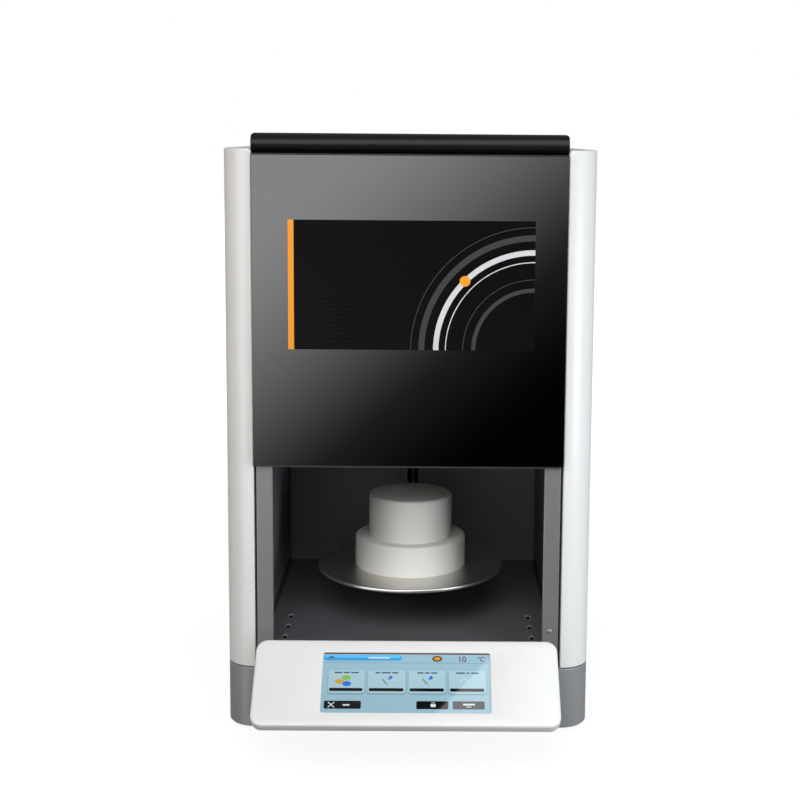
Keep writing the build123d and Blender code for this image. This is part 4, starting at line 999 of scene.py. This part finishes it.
class FURNACE_OT_stage(bpy.types.Operator):
    """Set up the floor, the light, the card that the front shows, and the camera"""

    bl_idname = "furnace.stage"
    bl_label = "Stage"

    def execute(self, context):
        scene = context.scene
        stage = scene.furnace_stage
        self.world(scene, stage.ambient)
        self.floor(scene)
        self.front_card(scene, stage.sheen)
        self.glare_card(scene, stage.glare)
        self.lamp(scene, "key_light", (-0.05, -1.45, 1.45), (0.0, -0.1, 0.25), 0.9, stage.key)
        side = self.lamp(scene, "side_light", (0.98, -0.88, 0.36), (0.17, -0.1, 0.25), 0.45, stage.side,
                         (0.88, 0.95, 1.0))
        side.visible_glossy = True
        self.lamp(scene, "fill_light", (-1.02, -0.96, 0.56), (-0.12, -0.1, 0.24), 0.6, stage.fill,
                  (1.0, 0.95, 0.91))
        for side, name in ((-1, "back_light_left"), (1, "back_light_right")):
            self.lamp(scene, name, (0.95 * side, 1.60, 0.90), (0.0, 0.2, 0.30), 0.9, stage.back)
        self.camera(scene, stage)
        scene.view_settings.view_transform = "Standard"
        return {"FINISHED"}

    def world(self, scene, ambient):
        """White where the camera and glass look, and a plain even light otherwise."""
        world = bpy.data.worlds.new("studio")
        world.use_nodes = True
        tree = world.node_tree
        ground = tree.nodes["Background"]
        ground.inputs["Color"].default_value = (1.0, 1.0, 1.0, 1.0)
        path = tree.nodes.new("ShaderNodeLightPath")
        seen = maths(tree, "MAXIMUM", path.outputs["Is Camera Ray"],
                     path.outputs["Is Transmission Ray"])
        strength = maths(tree, "MULTIPLY_ADD", seen, 1.0 - ambient, ambient)
        tree.links.new(strength, ground.inputs["Strength"])
        scene.world = world

    def floor(self, scene):
        """A white sheet that shows only a trace of the shadow under the furnace."""
        mesh = bpy.data.meshes.new("floor")
        reach = 12.0
        mesh.from_pydata([(-reach, -reach, 0.0), (reach, -reach, 0.0), (reach, reach, 0.0),
                          (-reach, reach, 0.0)], [], [(0, 1, 2, 3)])
        material = bpy.data.materials.new("floor")
        material.use_nodes = True
        tree = material.node_tree
        shader = tree.nodes["Principled BSDF"]
        shader.inputs["Base Color"].default_value = (0.32, 0.32, 0.32, 1.0)
        shader.inputs["Roughness"].default_value = 0.9
        shader.inputs["Specular IOR Level"].default_value = 0.0
        light = tree.nodes.new("ShaderNodeEmission")
        away = tree.nodes.new("ShaderNodeVectorMath")
        away.operation = "LENGTH"
        tree.links.new(tree.nodes.new("ShaderNodeTexCoord").outputs["Object"], away.inputs[0])
        tree.links.new(maths(tree, "ADD", 1.8, self.fade(tree, away.outputs["Value"], 2.4, 0.6, 0.4)),
                       light.inputs["Strength"])
        path = tree.nodes.new("ShaderNodeLightPath")
        seen = maths(tree, "MAXIMUM", path.outputs["Is Camera Ray"],
                     path.outputs["Is Transmission Ray"])
        both = tree.nodes.new("ShaderNodeMixShader")
        tree.links.new(maths(tree, "MULTIPLY", seen, 0.5), both.inputs[0])
        tree.links.new(shader.outputs[0], both.inputs[1])
        tree.links.new(light.outputs[0], both.inputs[2])
        tree.links.new(both.outputs[0], tree.nodes["Material Output"].inputs["Surface"])
        mesh.materials.append(material)
        floor = bpy.data.objects.new("floor", mesh)
        floor.visible_glossy = False
        scene.collection.objects.link(floor)

    def glossy_card(self, scene, name, corners, value):
        """A card that only reflections see, whose brightness a function makes from its place."""
        mesh = bpy.data.meshes.new(name)
        mesh.from_pydata(corners, [], [(0, 1, 2, 3)])
        material = bpy.data.materials.new(name)
        material.use_nodes = True
        tree = material.node_tree
        tree.nodes.remove(tree.nodes["Principled BSDF"])
        split = tree.nodes.new("ShaderNodeSeparateXYZ")
        tree.links.new(tree.nodes.new("ShaderNodeTexCoord").outputs["Object"], split.inputs[0])
        light = tree.nodes.new("ShaderNodeEmission")
        tree.links.new(value(tree, *split.outputs), light.inputs["Strength"])
        tree.links.new(light.outputs[0], tree.nodes["Material Output"].inputs["Surface"])
        mesh.materials.append(material)
        card = bpy.data.objects.new(name, mesh)
        card.visible_camera = False
        card.visible_diffuse = False
        card.visible_transmission = False
        card.visible_shadow = False
        scene.collection.objects.link(card)

    def fade(self, tree, value, first, last, strength):
        """A smooth step from the strength, at the first value, down to nothing at the last."""
        ramp = tree.nodes.new("ShaderNodeMapRange")
        ramp.interpolation_type = "SMOOTHSTEP"
        for label, number in (("From Min", first), ("From Max", last), ("To Min", strength),
                              ("To Max", 0.0)):
            ramp.inputs[label].default_value = number
        tree.links.new(value, ramp.inputs["Value"])
        return ramp.outputs["Result"]

    def front_card(self, scene, strength):
        """In front of the glass: bright at the upper left and black at the lower right. The sum of
        how far right and how far down the glass's reflection falls sets the brightness."""
        def value(tree, x, y, z):
            across = maths(tree, "MULTIPLY_ADD", x, 0.95 / 0.8867, 0.95 * 0.4862 / 0.8867)
            down = maths(tree, "MULTIPLY_ADD", z, -1.08 / 0.8826, 1.08 * 0.6106 / 0.8826)
            place = maths(tree, "ADD", across, down)
            return maths(tree, "ADD", self.fade(tree, place, 0.25, 1.35, 0.92 * strength),
                         self.fade(tree, place, 0.90, 1.75, 0.08 * strength))
        y = PANEL_FACE - 2.4
        self.glossy_card(scene, "front_card", [(-4.0, y, 3.5), (4.0, y, 3.5), (4.0, y, -2.5),
                                               (-4.0, y, -2.5)], value)

    def glare_card(self, scene, strength):
        """Overhead, with a slanted soft edge that shows across the right of the screen."""
        def value(tree, x, y, z):
            slant = maths(tree, "MULTIPLY_ADD", x, -1.0, maths(tree, "MULTIPLY_ADD", y, 0.974, 0.6795))
            return self.fade(tree, slant, -0.004, 0.006, strength)
        self.glossy_card(scene, "glare_card", [(0.0, -1.4, 1.6), (1.0, -1.4, 1.6), (1.0, 0.2, 1.6),
                                               (0.0, 0.2, 1.6)], value)

    def lamp(self, scene, name, place, target, size, power, tint=(1.0, 1.0, 1.0)):
        """A square soft light that looks at a point, and that reflections don't see."""
        data = bpy.data.lights.new(name, "AREA")
        data.shape = "SQUARE"
        data.size = size
        data.energy = power
        data.color = tint
        lamp = bpy.data.objects.new(name, data)
        lamp.visible_glossy = False
        scene.collection.objects.link(lamp)
        back = np.array(place) - np.array(target)
        back = back / np.linalg.norm(back)
        right = np.cross((0.0, 0.0, 1.0), back)
        right = right / np.linalg.norm(right)
        up = np.cross(back, right)
        turn = np.eye(4)
        turn[:3, 0], turn[:3, 1], turn[:3, 2], turn[:3, 3] = right, up, back, place
        lamp.matrix_world = Matrix(turn.tolist())
        return lamp

    def camera(self, scene, stage):
        """The photograph's camera, 1.46 m in front of the panel at the height of the hood. Its body
        turns left and down, and leans a little about its own line of sight."""
        data = bpy.data.cameras.new("camera")
        data.lens = stage.lens
        data.sensor_width = 36.0
        data.shift_x, data.shift_y = stage.shift
        camera = bpy.data.objects.new("camera", data)
        scene.collection.objects.link(camera)
        yaw, pitch, lean = math.radians(-0.333), math.radians(7.453), math.radians(0.454)
        turn = Matrix.Rotation(yaw, 4, "Z") @ Matrix.Rotation(math.pi / 2 - pitch, 4, "X")
        place = Matrix.Translation((0.0233, PANEL_FACE - 1.4604, 0.6365))
        camera.matrix_world = place @ turn @ Matrix.Rotation(lean, 4, "Z")
        scene.camera = camera


class FURNACE_PT_panel(bpy.types.Panel):
    """Lists the furnace's operators and settings"""

    bl_idname = "FURNACE_PT_panel"
    bl_label = "Furnace"
    bl_space_type = "VIEW_3D"
    bl_region_type = "UI"
    bl_category = "Furnace"

    def draw(self, context):
        for step in STEPS:
            self.layout.operator(step.bl_idname)
        for group in (context.scene.furnace_colours, context.scene.furnace_sizes,
                      context.scene.furnace_stage):
            column = self.layout.column()
            for key in group.__annotations__:
                column.prop(group, key)


SETTINGS = (FurnaceColours, FurnaceSizes, FurnaceStage)
STEPS = (
    FURNACE_OT_finishes,
    FURNACE_OT_covers,
    FURNACE_OT_shade_beads,
    FURNACE_OT_louvres,
    FURNACE_OT_plug,
    FURNACE_OT_console,
    FURNACE_OT_screen,
    FURNACE_OT_front,
    FURNACE_OT_stage,
)


def register():
    for kind in (*SETTINGS, *STEPS, FURNACE_PT_panel):
        bpy.utils.register_class(kind)
    bpy.types.Scene.furnace_colours = PointerProperty(type=FurnaceColours)
    bpy.types.Scene.furnace_sizes = PointerProperty(type=FurnaceSizes)
    bpy.types.Scene.furnace_stage = PointerProperty(type=FurnaceStage)


def unregister():
    del bpy.types.Scene.furnace_stage
    del bpy.types.Scene.furnace_sizes
    del bpy.types.Scene.furnace_colours
    for kind in reversed((*SETTINGS, *STEPS, FURNACE_PT_panel)):
        bpy.utils.unregister_class(kind)


def main():
    register()
    for step in STEPS:
        group, name = step.bl_idname.split(".")
        getattr(getattr(bpy.ops, group), name)()


if __name__ == "__main__":
    main()
